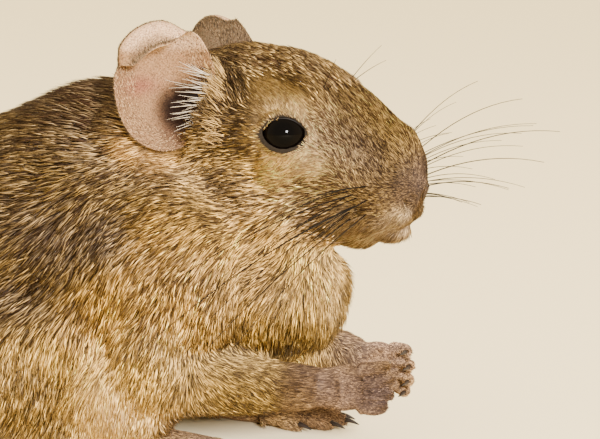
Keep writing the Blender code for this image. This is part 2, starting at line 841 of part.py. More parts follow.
def make_forepaw(side_name):
    """A hand held on edge, its palm towards the middle, with four fingers that curl inwards."""
    side = SIDES[side_name]
    wrist = spot(*WRIST, side)
    hand_way = hand_direction(side)
    inward = Vector((-0.30, -0.94 * side, 0)).normalized()
    palm_at = wrist + hand_way * 5.4 * MM
    shapes = [
        round_loft(
            "wrist",
            [(wrist - hand_way * 3 * MM, 3.6 * MM), (wrist + hand_way * 3.4 * MM, 3.2 * MM)],
            count=5,
            end_cap=2 * MM,
        ),
        ball("palm", palm_at, (5.0, 2.3, 3.7), (0, 0, -18 * side)),
        ball("thumb", palm_at + (inward * 1.6 + UP * 2.4) * MM, (1.9, 1.0, 1.1), (0, -20, -18 * side)),
    ]
    claws = []
    for k, (rise, length) in enumerate(FINGERS):
        base = palm_at + hand_way * 2.6 * MM + UP * rise * MM
        spread_way = (hand_way + UP * rise * 0.055).normalized()
        reach = [(0, 0, 1.2), (0.42, 0.02, 1.22), (0.78, 0.16, 1.12), (1.0, 0.40, 0.86)]
        path = [(base + (spread_way * s + inward * t) * length * MM, r * MM) for s, t, r in reach]
        shapes.append(round_loft("finger", path, sides=12, count=9, end_cap=0.7 * MM))
        tip, way = path[-1][0], (spread_way * 0.55 + inward * 0.85).normalized()
        bend = inward - spread_way * 0.4
        claws.append(claw(f"forepaw_{side_name}_claw_{k + 1}", tip, way, bend, *CLAWS["forepaw"]))
    paw = melted(f"forepaw_{side_name}", shapes, *PAW_MELT)
    bm = bmesh.new()
    bm.from_mesh(paw.data)
    seam = bmesh.ops.bisect_plane(
        bm,
        geom=bm.verts[:] + bm.edges[:] + bm.faces[:],
        plane_co=wrist + hand_way * GAP,
        plane_no=hand_way,
        clear_inner=True,
    )
    bmesh.ops.holes_fill(bm, edges=[e for e in seam["geom_cut"] if isinstance(e, bmesh.types.BMEdge)])
    bm.to_mesh(paw.data)
    bm.free()
    thinned(paw, FACES["forepaw"])
    seat_claws(paw, claws)
    return paw


def wrist_block(side):
    """What lies beyond the wrist, to be cut from the foreleg."""
    size = 16 * MM
    bm = bmesh.new()
    bmesh.ops.create_cube(bm, size=size)
    bmesh.ops.translate(bm, verts=bm.verts, vec=(size / 2, 0, 0))
    turn = hand_direction(side).to_track_quat("X", "Z").to_matrix().to_4x4()
    bm.transform(Matrix.Translation(spot(*WRIST, side)) @ turn)
    return add_object("beyond_wrist", bm)


def floor_cut(obj, height):
    """Flattens what reaches below the height into a sole at that height."""
    bm = bmesh.new()
    bm.from_mesh(obj.data)
    seam = bmesh.ops.bisect_plane(
        bm,
        geom=bm.verts[:] + bm.edges[:] + bm.faces[:],
        dist=1e-6,
        plane_co=(0, 0, height),
        plane_no=(0, 0, 1),
        clear_inner=True,
    )
    bmesh.ops.holes_fill(bm, edges=[e for e in seam["geom_cut"] if isinstance(e, bmesh.types.BMEdge)])
    bmesh.ops.triangulate(bm, faces=bm.faces)
    bm.to_mesh(obj.data)
    bm.free()
    return obj


def make_hind_foot(side_name):
    """The long hind foot, flat on the floor from heel to toes, with five toes and their claws."""
    side = SIDES[side_name]
    forward, out = FEET[side_name]
    ball_x = BALL_X + forward
    sole = [
        Section(spot(HEEL_X + forward, out + 0.6, 3.6, side), 3.0 * MM, 3.8 * MM, 3.9 * MM),
        Section(spot(forward - 4, out + 0.2, 3.4, side), 3.2 * MM, 3.6 * MM, 3.6 * MM),
        Section(spot(forward + 5, out, 2.8, side), 3.9 * MM, 2.9 * MM, 3.0 * MM),
        Section(spot(ball_x, out, 2.2, side), 4.6 * MM, 2.2 * MM, 2.4 * MM),
    ]
    shapes = [loft("sole", sole, 20, 14, 3 * MM, 2.5 * MM)]
    claws = []
    for k, (across, along, length) in enumerate(TOES):
        way = Vector((1, across * 0.045 * side, 0)).normalized()
        base = spot(ball_x - 1.5 + along, out + across, 0, side)
        reach = [(0, 1.9, 1.5), (0.4, 2.25, 1.5), (0.75, 1.7, 1.4), (1.0, 1.25, 1.2)]
        path = [(base + way * length * s * MM + UP * z * MM, r * MM) for s, z, r in reach]
        shapes.append(round_loft("toe", path, sides=12, count=9, end_cap=1.0 * MM))
        tip = path[-1][0] + UP * 0.35 * MM + way * 0.2 * MM
        name = f"hind_foot_{side_name}_claw_{k + 1}"
        claws.append(claw(name, tip, way, UP * -0.55, *CLAWS["hind_foot"]))
    foot = melted(f"hind_foot_{side_name}", shapes, *FOOT_MELT)
    thinned(foot, FACES["hind_foot"])
    floor_cut(foot, 0)
    seat_claws(foot, claws)
    return foot


def make_tail(torso):
    """The tail in three lengths that lie along the floor, the last with its brush of long locks."""
    sections = [Section(spot(x, y, z), r * MM, r * MM, r * MM) for x, y, z, r in TAIL]
    row = smooth_sections(sections, TAIL_SECTIONS)
    for name, (first, last) in TAIL_JOINTS.items():
        part = row[first : last + 1]
        way = (part[1].at - part[0].at).normalized()
        if first:
            part[0] = part[0]._replace(at=part[0].at + way * SEAT_GAP)
        end = 2 * MM if name == "tail_tip" else 0
        made = loft(name, part, sides=12, count=len(part) * 2 // 3, end_cap=end)
        floor_cut(made, 0)
        if name == "tail_root":
            cut(made, grown(torso, "torso_room", GAP))
        if name == "tail_tip":
            fused(made, [brush_lock(row, k) for k in range(BRUSH_LOCKS)])


def brush_lock(row, k):
    """One flat tapered lock of the brush, rooted in the tail and swept to its tip."""
    here = int(BRUSH_FROM + (BRUSH_TO - BRUSH_FROM) * k / (BRUSH_LOCKS - 1))
    at, radius = row[here].at, row[here].rise
    along = (row[min(here + 1, len(row) - 1)].at - row[here - 1].at).normalized()
    angle = math.radians(-20 + 220 * ((k * 0.382) % 1.0))
    out = UP.cross(along).normalized()
    away = out * math.cos(angle) + UP * math.sin(angle)
    length = LOCK_LENGTH * (0.8 + 0.35 * ((k * 0.618) % 1.0))
    rows = []
    # Four steps from root to tip: how far along, how far off the tail's middle, and how wide.
    steps = ((0, -0.39, 0.8), (0.3, 0.7, 1.0), (0.62, 1.64, 0.8), (1.0, 2.0, 0.12))
    for step, (share, lift, wide) in enumerate(steps):
        centre = at + along * length * share * MM + away * (radius * 0.7 + lift * MM)
        centre.z = max(centre.z, (0.7 + 0.25 * step) * MM)
        half_thick = LOCK_THICK / 2 * wide * MM
        rows.append(Section(centre, LOCK_WIDTH / 2 * wide * MM, half_thick, half_thick))
    return loft("lock", rows, sides=5, count=4, up=away)


def make_body():
    """The flesh as one smooth body, parted into its named nodes."""
    body = flesh_body()
    fine = melted("fine", [copy_of(body, "copy"), *snout_shapes()], *FACE_MELT)
    make_muzzle(fine)
    make_head(fine)
    bpy.data.objects.remove(fine)
    thinned(body, FACES["flesh"])
    body.name = "torso"
    floor_cut(body, 0.4 * MM)
    left_over(body, prism("head_region", HEAD_OUTLINE))
    for name, side in SIDES.items():
        region = haunch_region(side)
        thigh = claimed(body, region, f"thigh_{name}")
        left_over(body, region)
        region = arm_region(side)
        foreleg = claimed(body, region, f"foreleg_{name}")
        left_over(body, region)
        cut(foreleg, wrist_block(side))
        foot = bpy.data.objects[f"hind_foot_{name}"]
        for flesh in (thigh, body):
            cut(flesh, grown(foot, "foot_room", SEAT_GAP))
        thinned(thigh, FACES["thigh"])
        thinned(foreleg, FACES["foreleg"])
    region = prism("neck_region", NECK_OUTLINE)
    neck = claimed(body, region, "neck")
    left_over(body, region)
    for side_name in SIDES:
        left_over(neck, ear_shell(side_name, "ear_room", filled=True), SEAT_GAP)
        ear_shell(side_name, f"ear_{side_name}")
    thinned(body, FACES["torso"])
    thinned(neck, FACES["neck"])


def finished(obj):
    """Smooth shading, and a material of the part's own."""
    kind = next(kind for kind in ("claw", *FINISHES) if kind in obj.name)
    colour, roughness = FINISHES[kind]
    obj.data.materials.clear()
    obj.data.materials.append(skin_material(obj.name, colour, roughness))
    obj.data.shade_smooth()
    obj.data.set_sharp_from_angle(angle=math.radians(SHARP_ANGLE))


def centred(parts):
    """Moves every part so that the origin lies on the floor under the middle of the whole animal."""
    corners = [vertex.co for part in parts for vertex in part.data.vertices]
    middle = [(min(c[k] for c in corners) + max(c[k] for c in corners)) / 2 for k in (0, 1)]
    for part in parts:
        part.data.transform(Matrix.Translation((-middle[0], -middle[1], 0)))


def main():
    """Builds every part, dresses it and sets the whole on its origin."""
    clear_scene()
    for name in SIDES:
        make_forepaw(name)
        make_hind_foot(name)
    make_body()
    make_tail(bpy.data.objects["torso"])
    parts = list(bpy.context.scene.collection.objects)
    for part in parts:
        finished(part)
    centred(parts)


main()
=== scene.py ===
"""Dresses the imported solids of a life-size degu in skin, coat, ears, eyes, claws and whiskers.

Places and sizes are written in millimetres in the model's own frame, +X to the nose, +Y to the
animal's left and +Z up from the floor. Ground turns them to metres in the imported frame. A folded
place is one whose Y is taken as if it lay on the left.
"""

import json
import logging
import math
from dataclasses import dataclass, field, replace
from enum import Enum

import bmesh
import bpy
import numpy as np
from mathutils import Matrix, Vector
from mathutils.bvhtree import BVHTree
from mathutils.kdtree import KDTree

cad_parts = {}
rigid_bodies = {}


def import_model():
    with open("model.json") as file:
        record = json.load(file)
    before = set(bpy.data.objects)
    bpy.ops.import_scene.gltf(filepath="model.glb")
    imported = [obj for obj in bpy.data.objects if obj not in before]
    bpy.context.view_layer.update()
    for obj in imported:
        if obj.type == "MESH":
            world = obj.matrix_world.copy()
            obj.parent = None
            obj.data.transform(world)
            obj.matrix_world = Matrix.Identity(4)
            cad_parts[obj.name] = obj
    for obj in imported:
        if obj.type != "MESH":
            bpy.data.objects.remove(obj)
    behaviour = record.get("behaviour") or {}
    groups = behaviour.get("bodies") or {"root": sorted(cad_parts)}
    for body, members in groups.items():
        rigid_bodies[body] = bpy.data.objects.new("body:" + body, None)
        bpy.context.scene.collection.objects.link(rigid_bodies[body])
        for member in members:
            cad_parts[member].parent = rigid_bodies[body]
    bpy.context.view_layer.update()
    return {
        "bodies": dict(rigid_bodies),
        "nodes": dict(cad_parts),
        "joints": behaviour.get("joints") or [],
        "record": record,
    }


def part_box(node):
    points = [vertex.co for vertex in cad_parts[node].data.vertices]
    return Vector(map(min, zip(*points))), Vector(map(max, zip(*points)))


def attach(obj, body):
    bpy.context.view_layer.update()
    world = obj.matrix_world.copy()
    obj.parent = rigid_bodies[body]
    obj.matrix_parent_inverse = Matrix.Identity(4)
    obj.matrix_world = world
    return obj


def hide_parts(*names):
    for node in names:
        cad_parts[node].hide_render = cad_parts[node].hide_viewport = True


LOG = logging.getLogger("degu")
MM = 0.001
SEED = 7
UP = Vector((0, 0, 1))

EYE_AT = (26.2, 11.2, 55.0)
EYE_LOOKS = (0.30, 0.93, 0.16)
EYE_RADIUS = 3.9
NOSE_TIP = (48.5, 0.0, 45.5)
NOSE_PAD = (46.9, 1.5, 44.4)
SNOUT = (43, 0, 43)
EAR_MIDDLE = (7.4, 1.2)
WAVES = 8
TAIL_NODES = ("tail_root", "tail_middle", "tail_tip")


class Side(Enum):
    """The animal's two sides, each with the sign of its Y."""

    RIGHT = -1
    LEFT = 1

    @property
    def word(self) -> str:
        """The side's name as the nodes spell it."""
        return self.name.lower()

    @property
    def flip(self) -> np.ndarray:
        """What a left place is multiplied by to lie on this side."""
        return np.array((1, self.value, 1))


class Draw(Enum):
    """What each kind of hair adds to the seed, which gives it a random draw of its own."""

    EAR_DOWN = 30
    WHISKERS = 50
    EAR_HAIR = 60
    EAR_FRINGE = 70
    BRUSH = 80

    def start(self) -> np.random.Generator:
        """The start of this draw."""
        return np.random.default_rng(SEED + self.value)


class Tone(Enum):
    """Middle, darkest and palest hairs of each stretch of coat, as linear surface colours."""

    BACK = ((0.059, 0.036, 0.016), (0.020, 0.008, 0.003), (0.137, 0.090, 0.039))
    CROWN = ((0.111, 0.070, 0.029), (0.033, 0.015, 0.005), (0.420, 0.262, 0.087))
    FLANK = ((0.082, 0.053, 0.024), (0.019, 0.009, 0.003), (0.280, 0.176, 0.062))
    LOW = ((0.378, 0.235, 0.063), (0.087, 0.051, 0.019), (0.850, 0.530, 0.140))
    BELLY = ((0.680, 0.440, 0.150), (0.420, 0.265, 0.105), (0.860, 0.580, 0.190))
    SHOULDER = ((0.347, 0.205, 0.058), (0.066, 0.035, 0.011), (0.820, 0.482, 0.123))
    CHEEK = ((0.135, 0.087, 0.037), (0.038, 0.021, 0.009), (0.506, 0.314, 0.105))
    CREAM = ((0.600, 0.355, 0.105), (0.165, 0.102, 0.042), (0.860, 0.570, 0.180))
    GOLD = ((0.625, 0.413, 0.144), (0.264, 0.162, 0.062), (0.850, 0.580, 0.210))
    AMBER = ((0.330, 0.168, 0.040), (0.140, 0.075, 0.022), (0.620, 0.350, 0.085))
    BRIDGE = ((0.380, 0.250, 0.110), (0.055, 0.027, 0.009), (0.900, 0.569, 0.177))
    MUZZLE = ((0.231, 0.145, 0.064), (0.050, 0.025, 0.010), (0.900, 0.568, 0.198))
    NOSE = ((0.112, 0.070, 0.040), (0.038, 0.021, 0.013), (0.400, 0.240, 0.115))
    LIP = ((0.520, 0.360, 0.190), (0.165, 0.110, 0.065), (0.860, 0.620, 0.320))
    CHEST = ((0.360, 0.222, 0.065), (0.110, 0.068, 0.028), (0.820, 0.520, 0.150))
    EAR = ((0.163, 0.106, 0.060), (0.040, 0.024, 0.014), (0.640, 0.400, 0.190))
    PAW = ((0.227, 0.137, 0.072), (0.079, 0.044, 0.024), (0.650, 0.375, 0.163))
    TAIL = ((0.054, 0.033, 0.016), (0.014, 0.008, 0.004), (0.134, 0.085, 0.039))
    BRUSH = ((0.009, 0.007, 0.005), (0.004, 0.003, 0.002), (0.026, 0.019, 0.014))


class Tint(Enum):
    """Linear surface colours of bare skin, lids and horn, and the painted shade of slits and of the ear's
    hollow.
    """

    NOSE = (0.040, 0.025, 0.016)
    # Painted shade: the dark of the shadow inside the nostrils.
    NOSTRIL = (0.005, 0.0025, 0.002)
    # Painted shade: the dark of the shadow between the lips.
    MOUTH = (0.008, 0.004, 0.003)
    LID = (0.004, 0.003, 0.0025)
    CORNER = (0.011, 0.008, 0.005)
    # Painted shade: the dark of the shadow between the fingers.
    CREASE = (0.016, 0.009, 0.006)
    CLAW = (0.018, 0.012, 0.009)
    EAR_INSIDE = (0.190, 0.104, 0.050)
    EAR_FLUSH = (0.140, 0.050, 0.032)
    # Painted shade: the dark of the shadow deep in the ear's hollow.
    EAR_HOLLOW = (0.007, 0.0032, 0.0018)
    # Painted shade: the dusky shadow low in the ear's cup.
    EAR_DUSK = (0.055, 0.029, 0.019)
    EAR_OUTSIDE = (0.070, 0.045, 0.024)
    EAR_RIM = (0.520, 0.330, 0.190)
    PALE_HAIR = (0.700, 0.580, 0.420)
    DARK_HAIR = (0.003, 0.0022, 0.0018)
    IRIS = (0.0012, 0.0008, 0.0006)
    PUPIL = (0.0006, 0.0005, 0.0005)

    @property
    def albedo(self) -> np.ndarray:
        """The colour as an array."""
        return np.array(self.value)


@dataclass(frozen=True)
class Zone:
    """How the coat lies and looks at one place of the animal's left side, mirrored to the right.

    Attributes:
        at: the place, in mm.
        lie: the way the hairs point: forward, outward and up.
        length: of the hairs, in mm.
        depth: of the coat over the skin, in mm.
        width: of one tuft, in mm.
        tone: the colours of the hairs.
        reach: how far round the zone holds, in mm.
    """

    at: tuple[float, float, float]
    lie: tuple[float, float, float]
    length: float
    depth: float
    width: float
    tone: Tone
    reach: float = 8.0


ZONES = {
    "nose_front": Zone((46.4, 1.0, 47.0), (-1, 0.3, 0.4), 0.6, 0.09, 0.13, Tone.NOSE, 4),
    "nose_side": Zone((44.0, 4.6, 45.5), (-1, 0.3, -0.1), 0.7, 0.09, 0.13, Tone.NOSE, 3.4),
    "nose_bridge": Zone((40.0, 1.5, 57.0), (-0.8, 0.1, 0.6), 1.9, 0.45, 0.18, Tone.BRIDGE, 7),
    "bridge_side": Zone((36.5, 6.5, 56.5), (-0.6, 0.1, 0.75), 1.6, 0.4, 0.16, Tone.BRIDGE, 5),
    "forehead": Zone((29.0, 3.0, 65.0), (-0.9, 0.05, 0.4), 2.6, 0.7, 0.19, Tone.CROWN, 8),
    "forehead_side": Zone((28.0, 8.0, 62.5), (-0.75, 0.1, 0.65), 2.2, 0.6, 0.18, Tone.CROWN, 4),
    "crown": Zone((15.0, 3.0, 67.6), (-1, 0.0, 0.1), 3.6, 1.0, 0.18, Tone.CROWN, 8),
    "crest": Zone((13.5, 11.4, 63.0), (-0.25, 0.1, 1), 3.0, 0.8, 0.19, Tone.CHEEK, 4),
    "muzzle_side": Zone((38.5, 8.2, 50.5), (-0.65, 0.1, 0.6), 1.1, 0.25, 0.14, Tone.MUZZLE, 5),
    "whisker_pad": Zone((40.5, 7.0, 44.5), (-1, 0.3, 0.1), 1.0, 0.18, 0.14, Tone.MUZZLE, 4),
    "upper_lip": Zone((42.5, 4.8, 41.4), (-0.7, 0.3, -0.7), 1.2, 0.22, 0.14, Tone.LIP, 3),
    "chin": Zone((39.0, 2.0, 36.6), (-0.8, 0.0, -0.5), 1.8, 0.35, 0.18, Tone.LIP, 4),
    "mouth_corner": Zone((33.5, 9.4, 38.4), (-0.8, 0.1, -0.6), 2.2, 0.5, 0.18, Tone.CHEEK, 2.4),
    "lip_back": Zone((37.0, 8.0, 40.0), (-0.8, 0.1, -0.6), 1.8, 0.4, 0.16, Tone.LIP, 3),
    "before_eye": Zone((33.0, 9.8, 54.5), (-0.7, 0.25, 0.45), 1.4, 0.35, 0.16, Tone.BRIDGE, 3.6),
    "brow": Zone((24.0, 11.0, 61.0), (-0.85, 0.2, 0.55), 1.9, 0.4, 0.16, Tone.GOLD, 4.0),
    "over_eye": Zone((28.0, 10.6, 59.6), (-0.8, 0.2, 0.6), 1.6, 0.35, 0.15, Tone.GOLD, 2.6),
    "under_eye": Zone((25.5, 12.8, 49.4), (-0.9, 0.2, -0.35), 1.7, 0.4, 0.16, Tone.CREAM, 4.0),
    "under_eye_front": Zone((31.0, 11.4, 50.0), (-0.9, 0.2, -0.2), 1.5, 0.4, 0.16, Tone.GOLD, 2.6),
    "behind_eye": Zone((19.5, 14.0, 55.0), (-1, 0.1, -0.1), 2.2, 0.6, 0.18, Tone.CHEEK, 5),
    "temple": Zone((18.0, 12.6, 61.5), (-0.45, 0.1, 0.9), 2.4, 0.7, 0.18, Tone.CHEEK, 4.4),
    "cheek_front": Zone((31.0, 12.8, 45.0), (-1, 0.1, -0.15), 2.2, 0.6, 0.18, Tone.BRIDGE, 5),
    "cheek": Zone((19.0, 16.6, 46.0), (-0.95, 0.1, -0.3), 3.4, 1.0, 0.17, Tone.CHEEK, 7),
    "jaw": Zone((24.0, 13.0, 37.0), (-0.88, 0.1, -0.5), 3.8, 1.0, 0.17, Tone.SHOULDER, 6),
    "throat": Zone((24.0, 3.0, 30.0), (-0.5, 0.0, -0.85), 3.7, 1.2, 0.21, Tone.CHEST, 7),
    "below_ear": Zone((8.0, 16.0, 50.5), (-0.9, 0.2, -0.45), 2.8, 0.9, 0.17, Tone.AMBER, 2.7),
    "behind_ear": Zone((3.4, 17.0, 51.6), (-0.8, 0.2, -0.6), 3.2, 1.0, 0.18, Tone.AMBER, 2.3),
    "nape": Zone((0.0, 6.0, 63.0), (-1, 0.0, -0.12), 4.4, 1.6, 0.21, Tone.BACK, 8),
    "neck_side": Zone((2.0, 20.0, 44.5), (-0.75, 0.1, -0.7), 4.0, 1.5, 0.21, Tone.FLANK, 7.2),
    "neck_low": Zone((12.0, 20.0, 37.0), (-0.85, 0.1, -0.6), 3.7, 1.4, 0.2, Tone.SHOULDER, 6),
    "shoulder": Zone((10.0, 24.0, 30.0), (-0.4, 0.1, -1), 4.0, 1.6, 0.21, Tone.SHOULDER, 7),
    "chest": Zone((26.0, 4.0, 21.0), (-0.2, 0.0, -1), 4.0, 1.4, 0.22, Tone.CHEST, 8),
    "upper_arm": Zone((9.0, 26.0, 21.0), (-0.2, 0.05, -1), 3.4, 1.1, 0.21, Tone.LOW, 7),
    "forearm": Zone((20.0, 19.0, 15.0), (0.75, -0.1, -0.6), 2.6, 0.55, 0.17, Tone.LOW, 6),
    "wrist": Zone((30.0, 13.5, 13.5), (1, -0.35, -0.2), 1.6, 0.25, 0.16, Tone.PAW, 5),
    "forepaw": Zone((37.0, 9.0, 13.0), (1, -0.35, 0.0), 0.6, 0.08, 0.15, Tone.PAW, 6),
    "between_ears": Zone((4.0, 8.0, 66.6), (-1, 0.3, 0.5), 3.0, 1.0, 0.17, Tone.AMBER, 2.4),
    "withers": Zone((-12.0, 7.0, 61.0), (-1, 0.0, -0.1), 5.6, 2.1, 0.22, Tone.BACK, 10),
    "back": Zone((-34.0, 8.0, 53.0), (-0.95, 0.0, -0.35), 6.0, 2.2, 0.23, Tone.BACK, 14),
    "rump": Zone((-54.0, 7.0, 37.0), (-0.7, 0.0, -0.7), 6.0, 2.2, 0.23, Tone.BACK, 12),
    "upper_flank": Zone((-14.0, 24.0, 50.0), (-0.9, 0.1, -0.4), 5.2, 2.1, 0.21, Tone.FLANK, 9),
    "flank": Zone((-12.0, 28.0, 34.0), (-0.7, 0.1, -0.75), 5.2, 2.1, 0.21, Tone.FLANK, 9),
    "behind_arm": Zone((-1.0, 27.0, 24.0), (-0.45, 0.0, -1), 4.4, 1.8, 0.21, Tone.SHOULDER, 7),
    "low_flank": Zone((-12.0, 27.0, 15.0), (-0.45, 0.0, -1), 4.4, 1.7, 0.22, Tone.LOW, 9),
    "haunch": Zone((-36.0, 28.0, 34.0), (-0.75, 0.1, -0.7), 5.6, 2.1, 0.22, Tone.FLANK, 12),
    "low_haunch": Zone((-32.0, 27.0, 13.0), (-0.5, 0.0, -0.9), 4.4, 1.6, 0.22, Tone.CHEEK, 9),
    "knee": Zone((2.0, 25.0, 9.0), (-0.1, 0.0, -1), 3.6, 0.9, 0.2, Tone.BELLY, 7),
    "belly": Zone((-15.0, 5.0, 5.0), (-1, 0.2, 0.0), 4.4, 1.5, 0.27, Tone.LIP, 12),
    "under_tail": Zone((-57.0, 6.0, 14.0), (-0.6, 0.0, -0.8), 4.0, 1.4, 0.25, Tone.LIP, 7),
    "heel": Zone((-9.0, 18.0, 5.0), (0.5, 0.0, -0.8), 1.8, 0.3, 0.19, Tone.LOW, 4),
    "hind_foot": Zone((10.0, 16.0, 4.5), (1, 0.0, -0.1), 1.0, 0.1, 0.155, Tone.PAW, 6),
    "toes": Zone((22.0, 16.0, 3.0), (1, 0.0, -0.3), 0.6, 0.07, 0.15, Tone.PAW, 5),
    "tail_root": Zone((-64.0, 0.6, 9.0), (-1, 0.0, -0.5), 3.0, 0.8, 0.18, Tone.TAIL, 7),
    "tail_half": Zone((-94.0, 9.0, 4.0), (-1, 0.3, 0.0), 2.4, 0.55, 0.17, Tone.TAIL, 14),
    "tail_tip": Zone((-136.0, 35.0, 3.0), (-1, 0.8, 0.0), 4.0, 0.6, 0.21, Tone.BRUSH, 16),
}


@dataclass(frozen=True)
class Groove:
    """A slit or fold pressed into the bare skin, on both sides alike.

    Attributes:
        path: folded places along it, in mm.
        depth: how deep it is, in mm.
        width: how wide it is, in mm.
        tint: the painted shade in it, dark as the shadow inside the slit.
        bare: how far round it no hair grows, in mm.
    """

    path: tuple
    depth: float
    width: float
    tint: Tint
    bare: float

    def gap(self, places: np.ndarray) -> np.ndarray:
        """How far folded places in mm lie from the middle of the groove."""
        return path_gap(places, np.array(self.path))


# Each groove's tint is painted shade, the shadow that falls inside the slit.
GROOVES = {
    "nostril": Groove(
        ((46.9, 1.3, 42.7), (46.2, 2.6, 42.3), (45.3, 3.9, 42.9), (44.9, 4.4, 43.7)),
        0.9,
        0.62,
        Tint.NOSTRIL,
        0.6,
    ),
    "lip_split": Groove(((47.8, 0, 43.2), (47.2, 0, 41.8), (45.8, 0, 40.2)), 0.5, 0.3, Tint.MOUTH, 0.3),
    "mouth": Groove(
        tuple((46 - 9 * t**1.5, 7.4 * t**0.85, 40 - 2.4 * t**1.4) for t in np.linspace(0, 1, 9)),
        0.5,
        0.3,
        Tint.MOUTH,
        0.25,
    ),
}


@dataclass(frozen=True)
class Whisker:
    """One long whisker, given as if it stood on the left side.

    Attributes:
        at: its root, in mm.
        way: the way it leaves the skin.
        length: in mm.
        droop: how far its tip bends, in mm.
    """

    at: tuple[float, float, float]
    way: tuple[float, float, float]
    length: float
    droop: float

    def line(self, side: Side, steps: int) -> np.ndarray:
        """Places along the whisker from inside the skin to the tip.

        Args:
            side: the side it stands on.
            steps: how many places.

        Returns:
            The places, in mm.
        """
        share = np.linspace(0, 1, steps)[:, None]
        straight = np.array(self.at) + unit(np.array(self.way)) * (self.length * share - 1.2)
        return straight * side.flip + BENDS[side] * self.droop * share**2.2


BENDS = {Side.RIGHT: np.array((-0.2, 0.1, -1)), Side.LEFT: np.array((0.25, 0, -1))}
WHISKERS = {
    Side.RIGHT: (
        Whisker((39.5, 8.0, 46.6), (-0.20, 0.90, 0.10), 34, 5),
        Whisker((37.6, 8.8, 45.4), (-0.38, 0.86, -0.06), 42, 7),
        Whisker((39.8, 8.0, 44.6), (-0.30, 0.90, -0.16), 40, 7),
        Whisker((37.2, 8.9, 43.2), (-0.46, 0.82, -0.22), 44, 8),
        Whisker((39.6, 7.8, 42.4), (-0.34, 0.86, -0.34), 34, 6),
        Whisker((36.6, 8.6, 41.2), (-0.46, 0.76, -0.40), 32, 5),
    ),
    Side.LEFT: (
        Whisker((38.2, 8.0, 48.6), (0.02, 0.86, 0.50), 34, 6),
        Whisker((39.5, 8.0, 47.2), (0.12, 0.88, 0.42), 40, 8),
        Whisker((40.2, 7.8, 45.8), (0.22, 0.92, 0.30), 44, 9),
        Whisker((40.4, 7.6, 44.4), (0.20, 0.95, 0.20), 40, 8),
        Whisker((40.0, 7.4, 43.0), (0.16, 0.96, 0.10), 32, 6),
        Whisker((39.2, 7.4, 41.8), (0.14, 0.96, 0.00), 26, 4),
    ),
}


@dataclass(frozen=True)
class Ground:
    """Where the model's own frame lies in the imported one.

    Attributes:
        shift: the model's origin, in metres.
    """

    shift: Vector

    @classmethod
    def found(cls) -> "Ground":
        """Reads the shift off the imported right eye, whose place in the model is known.

        Returns:
            The ground.
        """
        low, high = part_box("eye_right")
        x, y, z = EYE_AT
        return cls((low + high) / 2 - Vector((x, -y, z)) * MM)

    def spot(self, x: float, y: float, z: float, side: Side = Side.LEFT) -> Vector:
        """A place in metres from millimetres, on the given side."""
        return Vector((x, y * side.value, z)) * MM + self.shift

    def metres(self, places: np.ndarray) -> np.ndarray:
        """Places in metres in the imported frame."""
        return places * MM + np.array(self.shift)

    def millimetres(self, places: np.ndarray) -> np.ndarray:
        """Places in millimetres in the model's frame."""
        return (places - np.array(self.shift)) / MM

    def corners(self, bm: bmesh.types.BMesh) -> np.ndarray:
        """The corners of a bmesh, in millimetres in the model's frame."""
        return self.millimetres(np.array([v.co for v in bm.verts]))


def drawn_share() -> float:
    return 1.0


def unit(vectors: np.ndarray) -> np.ndarray:
    """The vectors, each made one long."""
    return vectors / np.maximum(np.linalg.norm(vectors, axis=-1, keepdims=True), 1e-12)


def folded(places: np.ndarray) -> np.ndarray:
    """The places as if all lay on the left."""
    return np.c_[places[:, 0], np.abs(places[:, 1]), places[:, 2]]


def eased(value: np.ndarray, low: float, high: float) -> np.ndarray:
    """0 up to low, 1 from high on, and a smooth step between."""
    part = np.clip((value - low) / (high - low), 0, 1)
    return part * part * (3 - 2 * part)


def mixed(colours: np.ndarray, other: np.ndarray, share: np.ndarray) -> np.ndarray:
    """The colours, moved towards another one by each row's share."""
    return colours * (1 - share)[:, None] + other * share[:, None]


def path_gap(places: np.ndarray, path: np.ndarray) -> np.ndarray:
    """How far each place lies from a line of straight stretches.

    Args:
        places: one a row.
        path: the line's points, one a row.

    Returns:
        The distances.
    """
    gaps = np.full(len(places), np.inf)
    for start, end in zip(path[:-1], path[1:]):
        way = end - start
        part = np.clip((places - start) @ way / max(way @ way, 1e-12), 0, 1)
        gaps = np.minimum(gaps, np.linalg.norm(places - start - part[:, None] * way, axis=1))
    return gaps


@dataclass(frozen=True)
class Hand:
    """Where the slits between the fingers run, on the back and on the inside of a hand.

    Attributes:
        wrist: its folded place, in mm.
        way: the way the hand points.
        inward: the way to its inside.
        palm: from the wrist to the knuckles, in mm.
        rises: how far over the middle slit each one starts, in mm.
        fan: how much the slits spread, as a share of that.
        steps: along a slit: how far past the knuckles it is, how far it curls in, and how far
            it lies from the middle of the hand, in mm.
    """

    wrist: tuple = (30.5, 11.0, 13.4)
    way: tuple = (0.94, -0.30, -0.04)
    inward: tuple = (-0.30, -0.94, 0.0)
    palm: float = 8.0
    rises: tuple = (1.95, 0.0, -1.9)
    fan: float = 0.055
    steps: tuple = ((1.0, 0.05, 1.5), (2.4, 0.25, 1.2), (3.7, 0.7, 1.05), (4.8, 1.6, 0.9))

    def creases(self) -> dict[str, Groove]:
        """The slits between the fingers.

        Returns:
            The grooves by name.
        """
        hand, inward = unit(np.array(self.way)), np.array(self.inward)
        knuckles = np.array(self.wrist) + hand * self.palm
        creases = {}
        for number, rise in enumerate(self.rises):
            up = np.array((0, 0, rise))
            for face, turn in (("back", -1), ("palm", 1)):
                path = tuple(
                    tuple(knuckles + up + (hand + up * self.fan) * reach + inward * (turn * off + curl))
                    for reach, curl, off in self.steps
                )
                # Each slit is painted with the crease shade, the shadow between the fingers.
                creases[f"{face}_crease_{number}"] = Groove(path, 0.75, 0.5, Tint.CREASE, 0.5)
        return creases


GROOVES |= Hand().creases()


